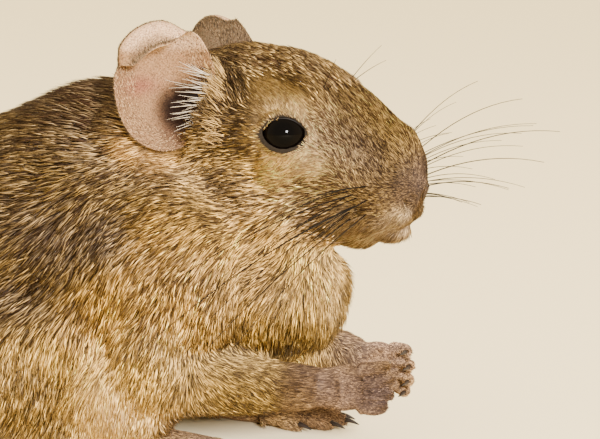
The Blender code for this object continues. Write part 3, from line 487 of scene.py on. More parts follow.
class Pattern(Enum):
    """Smooth random patterns over the coat.

    Each one has about how far apart in mm its values stop being alike, the seed that picks it,
    and how many values it gives each place.
    """

    TURN = (5.0, 31, 1)
    STREAK = (0.3, 37, 1)
    PATCH = (1.6, 39, 1)
    SWAY = (0.7, 41, 2)
    MOTTLE = (7.0, 43, 1)
    FINE_MOTTLE = (3.0, 45, 1)
    WARMTH = (4.0, 47, 1)

    def at(self, places: np.ndarray) -> np.ndarray:
        """The pattern's values, alike for places that lie close.

        Args:
            places: in mm, one a row.

        Returns:
            The values, mostly between -1 and 1, one row a place.
        """
        scale, seed, count = self.value
        rng = np.random.default_rng(seed)
        waves = rng.normal(size=(count, WAVES, 3)) / scale
        phases = rng.random((count, WAVES)) * 2 * math.pi
        turns = np.einsum("nk,cwk->ncw", places, waves) + phases
        return np.sin(turns).sum(-1) / 2


class EyeShape:
    """The almond opening between the lids, in folded places."""

    HALF_LENGTH, HALF_HEIGHT, POINTED, LOWERED = 3.95, 2.75, 1.45, 0.3
    LOOK = unit(np.array(EYE_LOOKS))
    OVER = unit(np.array((0, 0, 1)) - LOOK * LOOK[2])
    ACROSS = np.cross(OVER, LOOK)
    AT = np.array(EYE_AT) - OVER * LOWERED

    @classmethod
    def outline(cls, angle: float, off: float = 0.0) -> tuple[float, float]:
        """A point of the almond, moved outwards.

        Args:
            angle: round the almond, in radians.
            off: how far outwards, in mm.

        Returns:
            How far it lies across and up from the middle, in mm.
        """
        sine, cosine = math.sin(angle), math.cos(angle)
        high = cls.HALF_HEIGHT * math.copysign(abs(sine) ** cls.POINTED, sine)
        return cls.HALF_LENGTH * cosine + off * cosine, high + off * sine

    @classmethod
    def gap(cls, places: np.ndarray) -> np.ndarray:
        """How far folded places lie outside the almond, or how deep in it as a negative number.

        Args:
            places: in mm, one a row.

        Returns:
            The distances, which count from the eye's middle where the eye is out of sight.
        """
        away = places - cls.AT
        across, over, front = (away @ axis for axis in (cls.ACROSS, cls.OVER, cls.LOOK))
        share = np.clip(np.abs(across) / cls.HALF_LENGTH, 0, 1)
        high = cls.HALF_HEIGHT * (1 - share**2) ** (cls.POINTED / 2)
        above = np.abs(over) - high
        beside = np.abs(across) - cls.HALF_LENGTH
        round_gap = np.where(beside > 0, np.hypot(beside, over), above * 0.85)
        return np.where(front > 0, round_gap, np.linalg.norm(away, axis=1))

    @classmethod
    def away(cls, places: np.ndarray) -> np.ndarray:
        """The way from the eye's middle to each folded place."""
        return unit(places - cls.AT)


def read_mesh(mesh: bpy.types.Mesh) -> tuple[np.ndarray, np.ndarray, np.ndarray]:
    """Corners, corner normals and triangles of a mesh.

    Args:
        mesh: the mesh, whose quads count as two triangles.

    Returns:
        Places in metres, normals, and three corner numbers a triangle.
    """
    mesh.calc_loop_triangles()
    places = np.empty(len(mesh.vertices) * 3)
    normals = np.empty(len(mesh.vertices) * 3)
    mesh.vertices.foreach_get("co", places)
    mesh.vertices.foreach_get("normal", normals)
    corners = np.empty(len(mesh.loop_triangles) * 3, int)
    mesh.loop_triangles.foreach_get("vertices", corners)
    return places.reshape(-1, 3), normals.reshape(-1, 3), corners.reshape(-1, 3)


def paint(mesh: bpy.types.Mesh, colours: np.ndarray) -> None:
    """Keeps a colour for every corner of the mesh, where the finishes read it."""
    layer = mesh.attributes.new("tint", "FLOAT_COLOR", "POINT")
    layer.data.foreach_set("color", np.c_[colours, np.ones(len(colours))].astype(np.float32).ravel())


def paint_plain(mesh: bpy.types.Mesh, tint: Tint) -> None:
    """Keeps one colour for the whole mesh."""
    paint(mesh, np.tile(tint.albedo, (len(mesh.vertices), 1)))


def finished(piece: bpy.types.Object, finish: bpy.types.Material) -> bpy.types.Object:
    """The piece, given its finish."""
    piece.data.materials.append(finish)
    return piece


def add_piece(name: str, mesh: bpy.types.Mesh) -> bpy.types.Object:
    """A new object in the scene, at the origin.

    Args:
        name: of the piece.
        mesh: its mesh.

    Returns:
        The piece.
    """
    piece = bpy.data.objects.new(name, mesh)
    bpy.context.scene.collection.objects.link(piece)
    return piece


def piece_from(name: str, bm: bmesh.types.BMesh) -> bpy.types.Object:
    """A new smooth object.

    Args:
        name: of the piece.
        bm: its shape, which is freed.

    Returns:
        The piece.
    """
    mesh = bpy.data.meshes.new(name)
    bm.to_mesh(mesh)
    bm.free()
    mesh.shade_smooth()
    return add_piece(name, mesh)


def settled(piece: bpy.types.Object) -> bpy.types.Object:
    """Applies the object's modifiers to its mesh.

    Args:
        piece: the object.

    Returns:
        The same object.
    """
    bpy.context.view_layer.update()
    graph = bpy.context.evaluated_depsgraph_get()
    mesh = bpy.data.meshes.new_from_object(piece.evaluated_get(graph))
    piece.modifiers.clear()
    piece.data = mesh
    mesh.shade_smooth()
    return piece


def refined(piece: bpy.types.Object) -> bpy.types.Object:
    """Subdivides the object twice into a smooth surface.

    Args:
        piece: the object.

    Returns:
        The same object.
    """
    finer = piece.modifiers.new("finer", "SUBSURF")
    finer.levels = finer.render_levels = 2
    return settled(piece)


def merged(node: bpy.types.Object) -> bmesh.types.BMesh:
    """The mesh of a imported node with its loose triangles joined.

    Args:
        node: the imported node, which stays as it is.

    Returns:
        The joined copy.
    """
    bm = bmesh.new()
    bm.from_mesh(node.data)
    bmesh.ops.remove_doubles(bm, verts=bm.verts, dist=1e-6)
    return bm


def keep_largest(bm: bmesh.types.BMesh) -> None:
    """Deletes all but the largest connected surface.

    Args:
        bm: the surfaces.
    """
    left, largest = set(bm.verts), set()
    while left:
        island, edge = set(), [left.pop()]
        while edge:
            vert = edge.pop()
            island.add(vert)
            near = {other for link in vert.link_edges for other in link.verts} & left
            left -= near
            edge.extend(near)
        largest = max(largest, island, key=len)
    bmesh.ops.delete(bm, geom=[v for v in bm.verts if v not in largest], context="VERTS")


@dataclass(frozen=True)
class Finish:
    """A surface that takes its colour from the mesh and varies it finely.

    Attributes:
        name: of the material.
        roughness: of the surface.
        specular: strength of plain reflections.
        index: of refraction, which sets how strongly the surface mirrors.
        grain: size of the fine variation, in mm.
        speckle: how strongly the grain changes the colour.
        relief: height of the bump, in mm.
        glow: how much light spreads under the surface.
    """

    name: str
    roughness: float = 0.6
    specular: float = 0.3
    index: float = 1.5
    grain: float = 0.4
    speckle: float = 0.15
    relief: float = 0.0
    glow: float = 0.0

    def material(self) -> bpy.types.Material:
        """Builds the material's nodes.

        Returns:
            The material.
        """
        made = bpy.data.materials.new(self.name)
        made.use_nodes = True
        nodes, links = made.node_tree.nodes, made.node_tree.links
        shader = nodes["Principled BSDF"]
        settings = {"Roughness": self.roughness, "Specular IOR Level": self.specular, "IOR": self.index}
        if self.glow:
            settings["Subsurface Weight"] = self.glow
            settings["Subsurface Radius"] = (1.0, 0.35, 0.2)
            settings["Subsurface Scale"] = 0.6 * MM
        for socket, value in settings.items():
            shader.inputs[socket].default_value = value
        tint = nodes.new("ShaderNodeAttribute")
        tint.attribute_name = "tint"
        where = nodes.new("ShaderNodeTexCoord")
        noise = nodes.new("ShaderNodeTexNoise")
        noise.inputs["Scale"].default_value = 1 / (self.grain * MM)
        noise.inputs["Detail"].default_value = 3
        links.new(where.outputs["Object"], noise.inputs["Vector"])
        level = nodes.new("ShaderNodeMapRange")
        ends = {"From Min": 0.3, "From Max": 0.7, "To Min": 1 - self.speckle, "To Max": 1 + self.speckle}
        for socket, value in ends.items():
            level.inputs[socket].default_value = value
        links.new(noise.outputs["Fac"], level.inputs["Value"])
        shade = nodes.new("ShaderNodeVectorMath")
        shade.operation = "SCALE"
        links.new(tint.outputs["Color"], shade.inputs[0])
        links.new(level.outputs["Result"], shade.inputs["Scale"])
        links.new(shade.outputs["Vector"], shader.inputs["Base Color"])
        if self.relief:
            bump = nodes.new("ShaderNodeBump")
            bump.inputs["Distance"].default_value = self.relief * MM
            bump.inputs["Strength"].default_value = 0.8
            links.new(noise.outputs["Fac"], bump.inputs["Height"])
            links.new(bump.outputs["Normal"], shader.inputs["Normal"])
        return made


class Finishes:
    """The finishes of all pieces, made once."""

    def __init__(self) -> None:
        """Makes the materials."""
        self.skin = Finish("skin", 0.8, specular=0.06, grain=0.3, speckle=0.3, relief=0.12).material()
        self.coat = Finish("coat", 0.55, specular=0.12, grain=1.2, speckle=0.12).material()
        ear = Finish("ear_skin", 0.7, specular=0.03, grain=0.25, speckle=0.5, relief=0.1, glow=0.1)
        self.ear = ear.material()
        self.eye = Finish("eye", 0.03, specular=0.5, index=1.12, speckle=0.05).material()
        self.lid = Finish("lid", 0.5, specular=0.1, grain=0.3, relief=0.05).material()
        self.claw = Finish("claw", 0.45, specular=0.2, grain=0.5, speckle=0.3).material()
        self.hair = Finish("whisker", 0.5, specular=0.1, grain=2.0, speckle=0.1).material()


@dataclass
class Fields:
    """What the zones say of the coat at many places, one row a place.

    Attributes:
        lie: the way the hairs point.
        length: of the hairs, in mm.
        depth: of the coat over the skin, in mm.
        width: of one tuft, in mm.
        tones: middle, darkest and palest colours.
    """

    lie: np.ndarray
    length: np.ndarray
    depth: np.ndarray
    width: np.ndarray
    tones: np.ndarray


class Lie:
    """The lie, length and colours of the coat everywhere, blended from the named zones."""

    CHUNK = 20000
    SHARPNESS, CORE = 3.0, 0.15
    EYE_NEAR, EYE_SOFT = 0.2, 4.5
    ROUND_NOSE, ROUND_EYE, EYE_PUSH, PALE_RIM = 7.0, 2.2, 1.3, 1.3
    TAIL_FROM = -60.0

    def __init__(self, tail_path: np.ndarray) -> None:
        """Lays out the zones of both sides.

        Args:
            tail_path: places down the tail, in mm.
        """
        both = [(zone, side) for zone in ZONES.values() for side in Side]
        flip = np.array([side.flip for _, side in both])
        self.at = np.array([zone.at for zone, _ in both]) * flip
        self.way = unit(np.array([zone.lie for zone, _ in both], float)) * flip
        self.sizes = np.array([(z.length, z.depth, z.width, z.reach) for z, _ in both])
        self.tones = np.array([zone.tone.value for zone, _ in both])
        self.tail_path = tail_path

    def short(self, places: np.ndarray) -> np.ndarray:
        """0 at the lids' rim, where the coat runs out, to 1 away from the eyes."""
        return eased(EyeShape.gap(folded(places)), self.EYE_NEAR, self.EYE_SOFT)

    def depth_at(self, places: np.ndarray) -> np.ndarray:
        """The coat's depth at places in mm."""
        return self.blend(places).depth * (0.1 + 0.9 * self.short(places))

    def blend(self, places: np.ndarray) -> Fields:
        """The zones' values, before any rule of the eyes, nose or tail.

        Args:
            places: in mm, one a row.

        Returns:
            The coat at each place.
        """
        parts = []
        reach = self.sizes[:, 3]
        for start in range(0, len(places), self.CHUNK):
            part = places[start : start + self.CHUNK]
            square = ((part[:, None, :] - self.at[None]) ** 2).sum(-1)
            weight = (reach**2 / (square + self.CORE * reach**2)) ** self.SHARPNESS
            weight /= weight.sum(1, keepdims=True)
            tones = np.tensordot(weight, self.tones, axes=(1, 0))
            parts.append((weight @ self.way, weight @ self.sizes, tones))
        way, sizes, tones = (np.concatenate(column) for column in zip(*parts))
        return Fields(way, sizes[:, 0], sizes[:, 1], sizes[:, 2], tones)

    def at_skin(self, places: np.ndarray, normals: np.ndarray) -> Fields:
        """The coat as it lies on the skin, led round the eyes, from the nose and down the tail.

        Args:
            places: in mm, one a row.
            normals: of the skin there.

        Returns:
            The coat at each place.
        """
        found = self.blend(places)
        lie = found.lie
        from_nose = places - np.array(NOSE_TIP)
        near_nose = np.exp(-((np.linalg.norm(from_nose, axis=1) / self.ROUND_NOSE) ** 2))[:, None]
        lie = lie * (1 - near_nose) + unit(from_nose) * near_nose
        flip = np.c_[np.ones(len(places)), np.sign(places[:, 1]), np.ones(len(places))]
        away = EyeShape.away(folded(places)) * flip
        aside = away - lie * (away * lie).sum(1, keepdims=True)
        gap = EyeShape.gap(folded(places))
        near_eye = np.exp(-((np.maximum(gap, 0) / self.ROUND_EYE) ** 2))
        lie = lie + aside * (self.EYE_PUSH * near_eye)[:, None]
        on_tail = places[:, 0] < self.TAIL_FROM
        if on_tail.any():
            gaps = ((places[on_tail][:, None, :] - self.tail_path[None]) ** 2).sum(-1)
            nearest = np.clip(gaps.argmin(1), 1, len(self.tail_path) - 2)
            lie[on_tail] = unit(self.tail_path[nearest + 1] - self.tail_path[nearest - 1])
        found.lie = unit(lie - normals * (lie * normals).sum(1, keepdims=True))
        short = self.short(places)
        found.length = found.length * (0.42 + 0.58 * short)
        found.depth = found.depth * (0.15 + 0.85 * short)
        found.width = found.width * (0.7 + 0.3 * short)
        rim = np.exp(-((np.maximum(gap, 0) / self.PALE_RIM) ** 2))[:, None, None]
        found.tones = found.tones * (1 - rim) + np.array(Tone.CREAM.value) * rim
        return found


@dataclass(frozen=True)
class TuftKind:
    """The faces of one kind of tuft, and where its corners lie on the OFBake map.

    Attributes:
        faces: corner numbers of each face.
        rings: which of root, bend and tip each corner belongs to.
        offsets: each corner's place on the map from its root's, as a share of the patch.
    """

    faces: tuple
    rings: tuple
    offsets: tuple

    @property
    def triangles(self) -> int:
        """How many triangles one tuft has."""
        return sum(len(face) - 2 for face in self.faces)


SIDES = ((1, 2), (2, 0), (0, 1))
STRAIGHT = TuftKind(
    tuple((i, 3, j) for i, j in SIDES),
    (0, 0, 0, 2),
    ((-1, -1), (-1, 1), (-1, 0), (1, 0)),
)
BENT = TuftKind(
    tuple((i, i + 3, j + 3, j) for i, j in SIDES) + tuple((i + 3, 6, j + 3) for i, j in SIDES),
    (0, 0, 0, 1, 1, 1, 2),
    ((-1, -1), (-1, 1), (-1, 0), (0, -1), (0, 1), (0, 0), (1, 0)),
)


@dataclass
class Tufts:
    """Tapered three-sided tufts of one kind.

    Attributes:
        kind: their faces.
        roots: places in mm.
        normals: of the skin.
        ways: the way each one points along the skin.
        length: in mm.
        rise: how high the tip stands over the skin, in mm.
        width: at the root, in mm.
        sway: how far each tip moves across and along the skin, in mm.
        colours: at root, bend and tip.
        spots: each root's place on the unwrapped skin.
        sunk: how deep each root stands in the skin, in mm.
        map_reach: half the side of a tuft's patch on the map.
        floor_gap: how near the floor a tuft may come, in mm.
    """

    kind: TuftKind
    roots: np.ndarray
    normals: np.ndarray
    ways: np.ndarray
    length: np.ndarray
    rise: np.ndarray
    width: np.ndarray
    sway: np.ndarray
    colours: np.ndarray
    spots: np.ndarray
    sunk: float = 0.06
    map_reach: float = 0.0012
    floor_gap: float = 0.12

    def corners(self) -> np.ndarray:
        """Every tuft's corners.

        Returns:
            Places in mm, a block of corners to each tuft.
        """
        across = np.cross(self.ways, self.normals)
        aside = across * self.sway[:, :1] + self.ways * self.sway[:, 1:2]
        half = across * (self.width / 2)[:, None]
        ridge = self.normals * (self.width * 0.45)[:, None]
        root = self.roots - self.normals * self.sunk
        bend = self.roots + self.ways * (self.length * 0.5)[:, None]
        bend += self.normals * (self.rise * 0.72)[:, None] + aside * 0.4
        tip = self.roots + self.ways * self.length[:, None] + self.normals * self.rise[:, None] + aside
        rows = []
        if self.kind is BENT:
            rows += [root - half * 0.85, root + half * 0.85, root + ridge * 0.85]
            rows += [bend - half, bend + half, bend + ridge]
        else:
            rows += [root - half * 1.15, root + half * 1.15, root + ridge * 1.6]
        corners = np.stack([*rows, tip], 1)
        corners[..., 2] = np.maximum(corners[..., 2], self.floor_gap)
        return corners


def bundle(name: str, groups: list[Tufts], ground: Ground) -> bpy.types.Mesh:
    """One mesh of several kinds of tufts.

    Args:
        name: of the mesh.
        groups: the tufts.
        ground: turns places to metres.

    Returns:
        The mesh, with its colours and its OFBake map.
    """
    places, loops, sizes, colours, flat = [], [], [], [], []
    first = 0
    for tufts in groups:
        kind, count = tufts.kind, len(tufts.roots)
        pattern = np.array([k for face in kind.faces for k in face])
        places.append(ground.metres(tufts.corners().reshape(-1, 3)))
        step = len(kind.rings) * np.arange(count)[:, None]
        loops.append((pattern[None] + step + first).ravel())
        sizes.append(np.tile([len(face) for face in kind.faces], count))
        colours.append(tufts.colours[:, list(kind.rings)].reshape(-1, 3))
        reach = np.array(kind.offsets)[pattern] * tufts.map_reach
        flat.append((tufts.spots[:, None] + reach[None]).reshape(-1, 2))
        first += len(kind.rings) * count
    places, loops, sizes, colours, flat = map(np.concatenate, (places, loops, sizes, colours, flat))
    mesh = bpy.data.meshes.new(name)
    mesh.vertices.add(len(places))
    mesh.vertices.foreach_set("co", places.ravel())
    mesh.loops.add(len(loops))
    mesh.loops.foreach_set("vertex_index", loops)
    mesh.polygons.add(len(sizes))
    mesh.polygons.foreach_set("loop_start", np.r_[0, np.cumsum(sizes)[:-1]])
    mesh.update(calc_edges=True)
    paint(mesh, colours)
    mesh.uv_layers.new(name="OFBake").uv.foreach_set("vector", flat.astype(np.float32).ravel())
    return mesh


@dataclass
class Scatter:
    """Random spots on some triangles of a surface.

    Attributes:
        places: the surface's corners, in mm.
        normals: at the corners.
        triangles: three corner numbers each.
        owner: the triangle of each spot.
        share: what each of its corners has in it.
    """

    places: np.ndarray
    normals: np.ndarray
    triangles: np.ndarray
    owner: np.ndarray = field(default=None)
    share: np.ndarray = field(default=None)
    MAP_ANGLE, MAP_MARGIN, MAP_EDGE = math.radians(66), 0.004, 0.002

    def draw(self, density: np.ndarray, rng: np.random.Generator) -> "Scatter":
        """Draws spots.

        Args:
            density: spots to a square millimetre of each triangle.
            rng: the random draw.

        Returns:
            The surface with its spots.
        """
        a, b, c = (self.places[self.triangles[:, k]] for k in range(3))
        wanted = np.linalg.norm(np.cross(b - a, c - a), axis=1) / 2 * density
        counts = np.floor(wanted + rng.random(len(wanted))).astype(int)
        owner = np.repeat(np.arange(len(counts)), counts)
        first, second = rng.random(len(owner)), rng.random(len(owner))
        over = first + second > 1
        first[over], second[over] = 1 - first[over], 1 - second[over]
        share = np.c_[1 - first - second, first, second]
        return Scatter(self.places, self.normals, self.triangles, owner, share)

    def kept(self, keep: np.ndarray) -> "Scatter":
        """The surface with only the chosen spots."""
        return Scatter(self.places, self.normals, self.triangles, self.owner[keep], self.share[keep])

    @property
    def roots(self) -> np.ndarray:
        """The spots' places, in mm."""
        return (self.places[self.triangles[self.owner]] * self.share[..., None]).sum(1)

    @property
    def facing(self) -> np.ndarray:
        """The surface's normals at the spots."""
        return unit((self.normals[self.triangles[self.owner]] * self.share[..., None]).sum(1))

    def unwrapped(self, ground: Ground) -> np.ndarray:
        """The spots on an unwrap of the triangles' own shape.

        Args:
            ground: turns places to metres.

        Returns:
            Their places on the map.
        """
        used, numbered = np.unique(self.triangles, return_inverse=True)
        mesh = bpy.data.meshes.new("stretch")
        corners = ground.metres(self.places[used]).tolist()
        mesh.from_pydata(corners, [], numbered.reshape(-1, 3).tolist())
        stretch = add_piece("stretch", mesh)
        mesh.uv_layers.new(name="OFBake")
        bpy.context.view_layer.objects.active = stretch
        bpy.ops.object.mode_set(mode="EDIT")
        bpy.ops.mesh.select_all(action="SELECT")
        bpy.ops.uv.smart_project(angle_limit=self.MAP_ANGLE, island_margin=self.MAP_MARGIN)
        bpy.ops.object.mode_set(mode="OBJECT")
        flat = np.empty(len(mesh.loops) * 2)
        mesh.uv_layers[0].uv.foreach_get("vector", flat)
        bpy.data.objects.remove(stretch)
        corners = flat.reshape(-1, 3, 2)[self.owner]
        return np.clip((corners * self.share[..., None]).sum(1), self.MAP_EDGE, 1 - self.MAP_EDGE)


@dataclass
class Tail:
    """The tail: its path on the floor and the brush at its end.

    Attributes:
        ground: turns places to metres.
        rows: place and radius at steps along it, in mm.
        sides: of its round body.
        steps: along it.
        brush: how many long dark hairs its end bears.
        brush_from: where they start, as a share of the tail's length.
        brush_stretch: the stretch that they stand on, as a share of that length.
        brush_length: of the shortest and the longest, in mm.
        brush_radius: of a hair at its root, in mm.
        brush_steps: along a hair.
        brush_floor: how near the floor a hair may come, in mm.
    """

    ground: Ground
    rows: tuple = (
        (-52, 0, 16, 6.4),
        (-64, 0.6, 8.2, 5.2),
        (-78, 3.4, 3.9, 4.0),
        (-94, 9, 3.1, 3.3),
        (-112, 18, 2.8, 3.0),
        (-129, 29, 2.5, 2.7),
        (-144, 42, 2.2, 2.2),
    )
    sides: int = 20
    steps: int = 90
    brush: int = 420
    brush_from: float = 0.76
    brush_stretch: float = 0.23
    brush_length: tuple = (6, 9.3)
    brush_radius: float = 0.09
    brush_steps: int = 6
    brush_floor: float = 0.25

    def path(self) -> np.ndarray:
        """A smooth curve through the rows.

        Returns:
            Place and radius at each step along the tail, in mm.
        """
        rows = np.array(self.rows, float)
        ends = np.vstack([2 * rows[0] - rows[1], rows, 2 * rows[-1] - rows[-2]])
        at = np.linspace(0, len(rows) - 1 - 1e-6, self.steps)
        here = at.astype(int)
        part = (at - here)[:, None]
        p, q, r, s = (ends[here + k] for k in range(4))
        bend = (2 * p - 5 * q + 4 * r - s) * part**2
        return q + 0.5 * ((r - p) * part + bend + (3 * q - p - 3 * r + s) * part**3)

    def core(self) -> bmesh.types.BMesh:
        """A closed round body along the path.

        Returns:
            The body.
        """
        bm = bmesh.new()
        path = self.path()
        places = [self.ground.spot(*row[:3]) for row in path]
        ring, last = [], Matrix()
        for k, (at, row) in enumerate(zip(places, path)):
            way = (places[min(k + 1, len(path) - 1)] - places[max(k - 1, 0)]).normalized()
            place = Matrix.Translation(at) @ way.to_track_quat("Z", "Y").to_matrix().to_4x4()
            radius = row[3] * MM
            if k == 0:
                made = bmesh.ops.create_circle(
                    bm, cap_ends=True, segments=self.sides, radius=radius, matrix=place
                )
                ring, last = made["verts"], place
                continue
            edges = [e for e in bm.edges if e.verts[0] in ring and e.verts[1] in ring]
            grown = bmesh.ops.extrude_edge_only(bm, edges=edges)
            ring = [v for v in grown["geom"] if isinstance(v, bmesh.types.BMVert)]
            scale = Matrix.Scale(radius / (path[k - 1][3] * MM), 4)
            bmesh.ops.transform(bm, matrix=place @ scale @ last.inverted(), verts=ring)
            last = place
        bm.faces.new(sorted(ring, key=lambda v: math.atan2(*(last.inverted() @ v.co).xy)))
        bmesh.ops.recalc_face_normals(bm, faces=bm.faces)
        return bm

    def tuft(self, finish: bpy.types.Material) -> bpy.types.Object:
        """The long dark hairs round the tail's end.

        Args:
            finish: of the hairs.

        Returns:
            The piece.
        """
        rng = Draw.BRUSH.start()
        path = self.path()
        share = np.linspace(0, 1, self.brush_steps)[:, None]
        lines = []
        for _ in range(self.brush):
            at = int(len(path) * (self.brush_from + self.brush_stretch * math.sqrt(rng.random())))
            way = unit(path[min(at + 1, len(path) - 1), :3] - path[at - 1, :3])
            angle = rng.random() * 2 * math.pi
            side = unit(np.cross(way, (0, 0, 1)))
            out = side * math.cos(angle) + np.cross(side, way) * math.sin(angle)
            length = rng.uniform(*self.brush_length)
            start = path[at, :3] + out * path[at, 3] * 0.5
            spread = out * (0.10 * length * share + 0.06 * length * share**2)
            line = start + way * length * share + spread
            line[:, 2] = np.maximum(line[:, 2], self.brush_floor)
            lines.append(line)
        taper = np.tile(np.linspace(1, 0.15, self.brush_steps) * self.brush_radius, (len(lines), 1))
        shade = rng.uniform(0.6, 2.2, len(lines))[:, None] * Tint.DARK_HAIR.albedo
        return finished(strands("tail_brush", np.array(lines), taper, shade, self.ground, 3), finish)


EARS = {
    Side.RIGHT: ((13.8, 13.0, 61.2), (-0.84, 0.54, 0), (-0.25, 0.10, 0.96)),
    Side.LEFT: ((13.0, 12.6, 61.4), (-0.80, 0.52, -0.20), (-0.50, 0.08, 0.86)),
}


@dataclass(frozen=True)
class EarFrame:
    """Where one ear stands.

    Attributes:
        root: its place, in metres.
        across: the way from its front edge to its back edge.
        along: the way up it.
        out: the way out of its hollow face.
    """

    root: Vector
    across: Vector
    along: Vector
    out: Vector

    @classmethod
    def of(cls, side: Side, ground: Ground) -> "EarFrame":
        """The frame of the ear on one side.

        Args:
            side: the ear's side.
            ground: turns places to metres.

        Returns:
            The frame.
        """
        root, across, along = EARS[side]
        flip = Vector((1, side.value, 1))
        across = (Vector(across) * flip).normalized()
        along = Vector(along) * flip
        along = (along - across * along.dot(across)).normalized()
        out = along.cross(across).normalized() * -side.value
        return cls(ground.spot(*root, side), across, along, out)

    @property
    def axes(self) -> np.ndarray:
        """The three ways, one a row."""
        return np.array([self.across, self.along, self.out])

    def local(self, places: np.ndarray) -> np.ndarray:
        """Places in metres as millimetres across, up and out of the ear."""
        return (places - np.array(self.root)) @ self.axes.T / MM


@dataclass
class Hide:
    """The skin: one closed surface that lies under the whole coat.

    Attributes:
        ground: turns places to metres.
        nodes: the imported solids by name.
        tail: whose body it covers.
        voxel: the fineness of the surface, in mm.
        swell: how far each node grows to close the cuts between them, in mm.
        faces: triangles that the finished skin keeps.
        ear_cut: how deep under its face each ear is run into the skin, in mm.
        ear_top: how far up each ear is run into the skin, in mm.
        ear_depth: how deep the skin lies under its surface at the ears, in mm.
        ear_reach: how far each ear reaches from its middle across, up and out, in mm.
        shave: how near to a whisker's line the muzzle is cut, in mm.
        pad: how far round a whisker's root the muzzle is kept, in mm.
        rounds: of smoothing, before and after the surface is sunk.
        fine: how far round a groove the mesh is made finer, in mm.
        flesh: the nodes it is made of, besides the ears' roots and the tail.
    """

    ground: Ground
    nodes: dict
    tail: Tail
    voxel: float = 0.3
    quick_voxel: float = 0.5
    swell: float = 0.24
    faces: int = 130000
    ear_cut: float = 1.2
    ear_top: float = 2.5
    ear_depth: float = 0.25
    ear_reach: tuple = (8.2, 10.4, 8)
    shave: float = 1.3
    pad: float = 2.4
    rounds: tuple = (24, 6)
    fine: float = 0.5
    flesh: tuple = ("torso", "neck", "head", "muzzle") + tuple(
        f"{limb}_{side.word}" for limb in ("foreleg", "forepaw", "thigh", "hind_foot") for side in Side
    )

    def shaved(self, bm: bmesh.types.BMesh) -> None:
        """Takes the whiskers off the muzzle and closes what they leave.

        Args:
            bm: the muzzle.
        """
        places = self.ground.corners(bm)
        off = np.zeros(len(places), bool)
        for side, whiskers in WHISKERS.items():
            for whisker in whiskers:
                line = whisker.line(side, 24)
                beyond = np.linalg.norm(places - np.array(whisker.at) * side.flip, axis=1) > self.pad
                off |= (path_gap(places, line) < self.shave) & beyond
        bm.verts.ensure_lookup_table()
        bmesh.ops.delete(bm, geom=[bm.verts[k] for k in np.flatnonzero(off)], context="VERTS")
        keep_largest(bm)
        bmesh.ops.holes_fill(bm, edges=[e for e in bm.edges if e.is_boundary])
        bmesh.ops.recalc_face_normals(bm, faces=bm.faces)

    def ear_root(self, side: Side) -> bmesh.types.BMesh:
        """The part of an ear's shell that is sunk in the head.

        Args:
            side: the ear's side.

        Returns:
            The part, closed where it is cut.
        """
        bm = merged(self.nodes[f"ear_{side.word}"])
        frame = EarFrame.of(side, self.ground)
        for way, off in ((frame.out, -self.ear_cut), (frame.along, self.ear_top)):
            cut = bmesh.ops.bisect_plane(
                bm,
                geom=bm.verts[:] + bm.edges[:] + bm.faces[:],
                plane_co=frame.root + way * off * MM,
                plane_no=way,
                clear_outer=True,
            )
            edges = [e for e in cut["geom_cut"] if isinstance(e, bmesh.types.BMEdge)]
            bmesh.ops.triangle_fill(bm, use_beauty=True, edges=edges)
        bmesh.ops.recalc_face_normals(bm, faces=bm.faces)
        return bm

    def joined(self) -> bpy.types.Object:
        """All nodes of flesh, the tail and the ears' roots in one loose mesh.

        Returns:
            The object that becomes the skin.
        """
        whole = bmesh.new()
        parts = []
        for name in self.flesh:
            bm = merged(self.nodes[name])
            if name == "muzzle":
                self.shaved(bm)
            parts.append(bm)
        parts += [self.ear_root(side) for side in Side]
        parts.append(self.tail.core())
        for bm in parts:
            mesh = bpy.data.meshes.new("part")
            bm.to_mesh(mesh)
            bm.free()
            whole.from_mesh(mesh)
            bpy.data.meshes.remove(mesh)
        return piece_from("skin", whole)

    def softness(self, places: np.ndarray) -> np.ndarray:
        """How far each place may be smoothed: little at eyes, nose, ears and paws.

        Args:
            places: in mm, one a row.

        Returns:
            The shares, up to 1.
        """
        eye = EyeShape.gap(folded(places))
        nose = np.linalg.norm(places - SNOUT, axis=1)
        ear = np.minimum(*(self.ear_gap(places, side) for side in Side))
        low = (places[:, 2] < 9) & (places[:, 0] > 8)
        hand = (places[:, 0] > 33) & (places[:, 2] < 22)
        soft = 0.12 + 0.88 * eased(eye, 0.5, 4) * eased(nose, 7, 12) * eased(ear, 1.0, 1.3)
        return np.where(low | hand, 0.1, soft)

    def ear_gap(self, places: np.ndarray, side: Side) -> np.ndarray:
        """How far places lie from an ear.

        Args:
            places: in mm, one a row.
            side: the ear's side.

        Returns:
            The gaps as a share of the ear's size, 1 at its rim.
        """
        a, b, c = EarFrame.of(side, self.ground).local(self.ground.metres(places)).T
        wide, high, deep = self.ear_reach
        across, up = (a - EAR_MIDDLE[0]) / wide, (b - EAR_MIDDLE[1]) / high
        return np.sqrt(across**2 + up**2 + ((c + 1.5) / deep) ** 4)

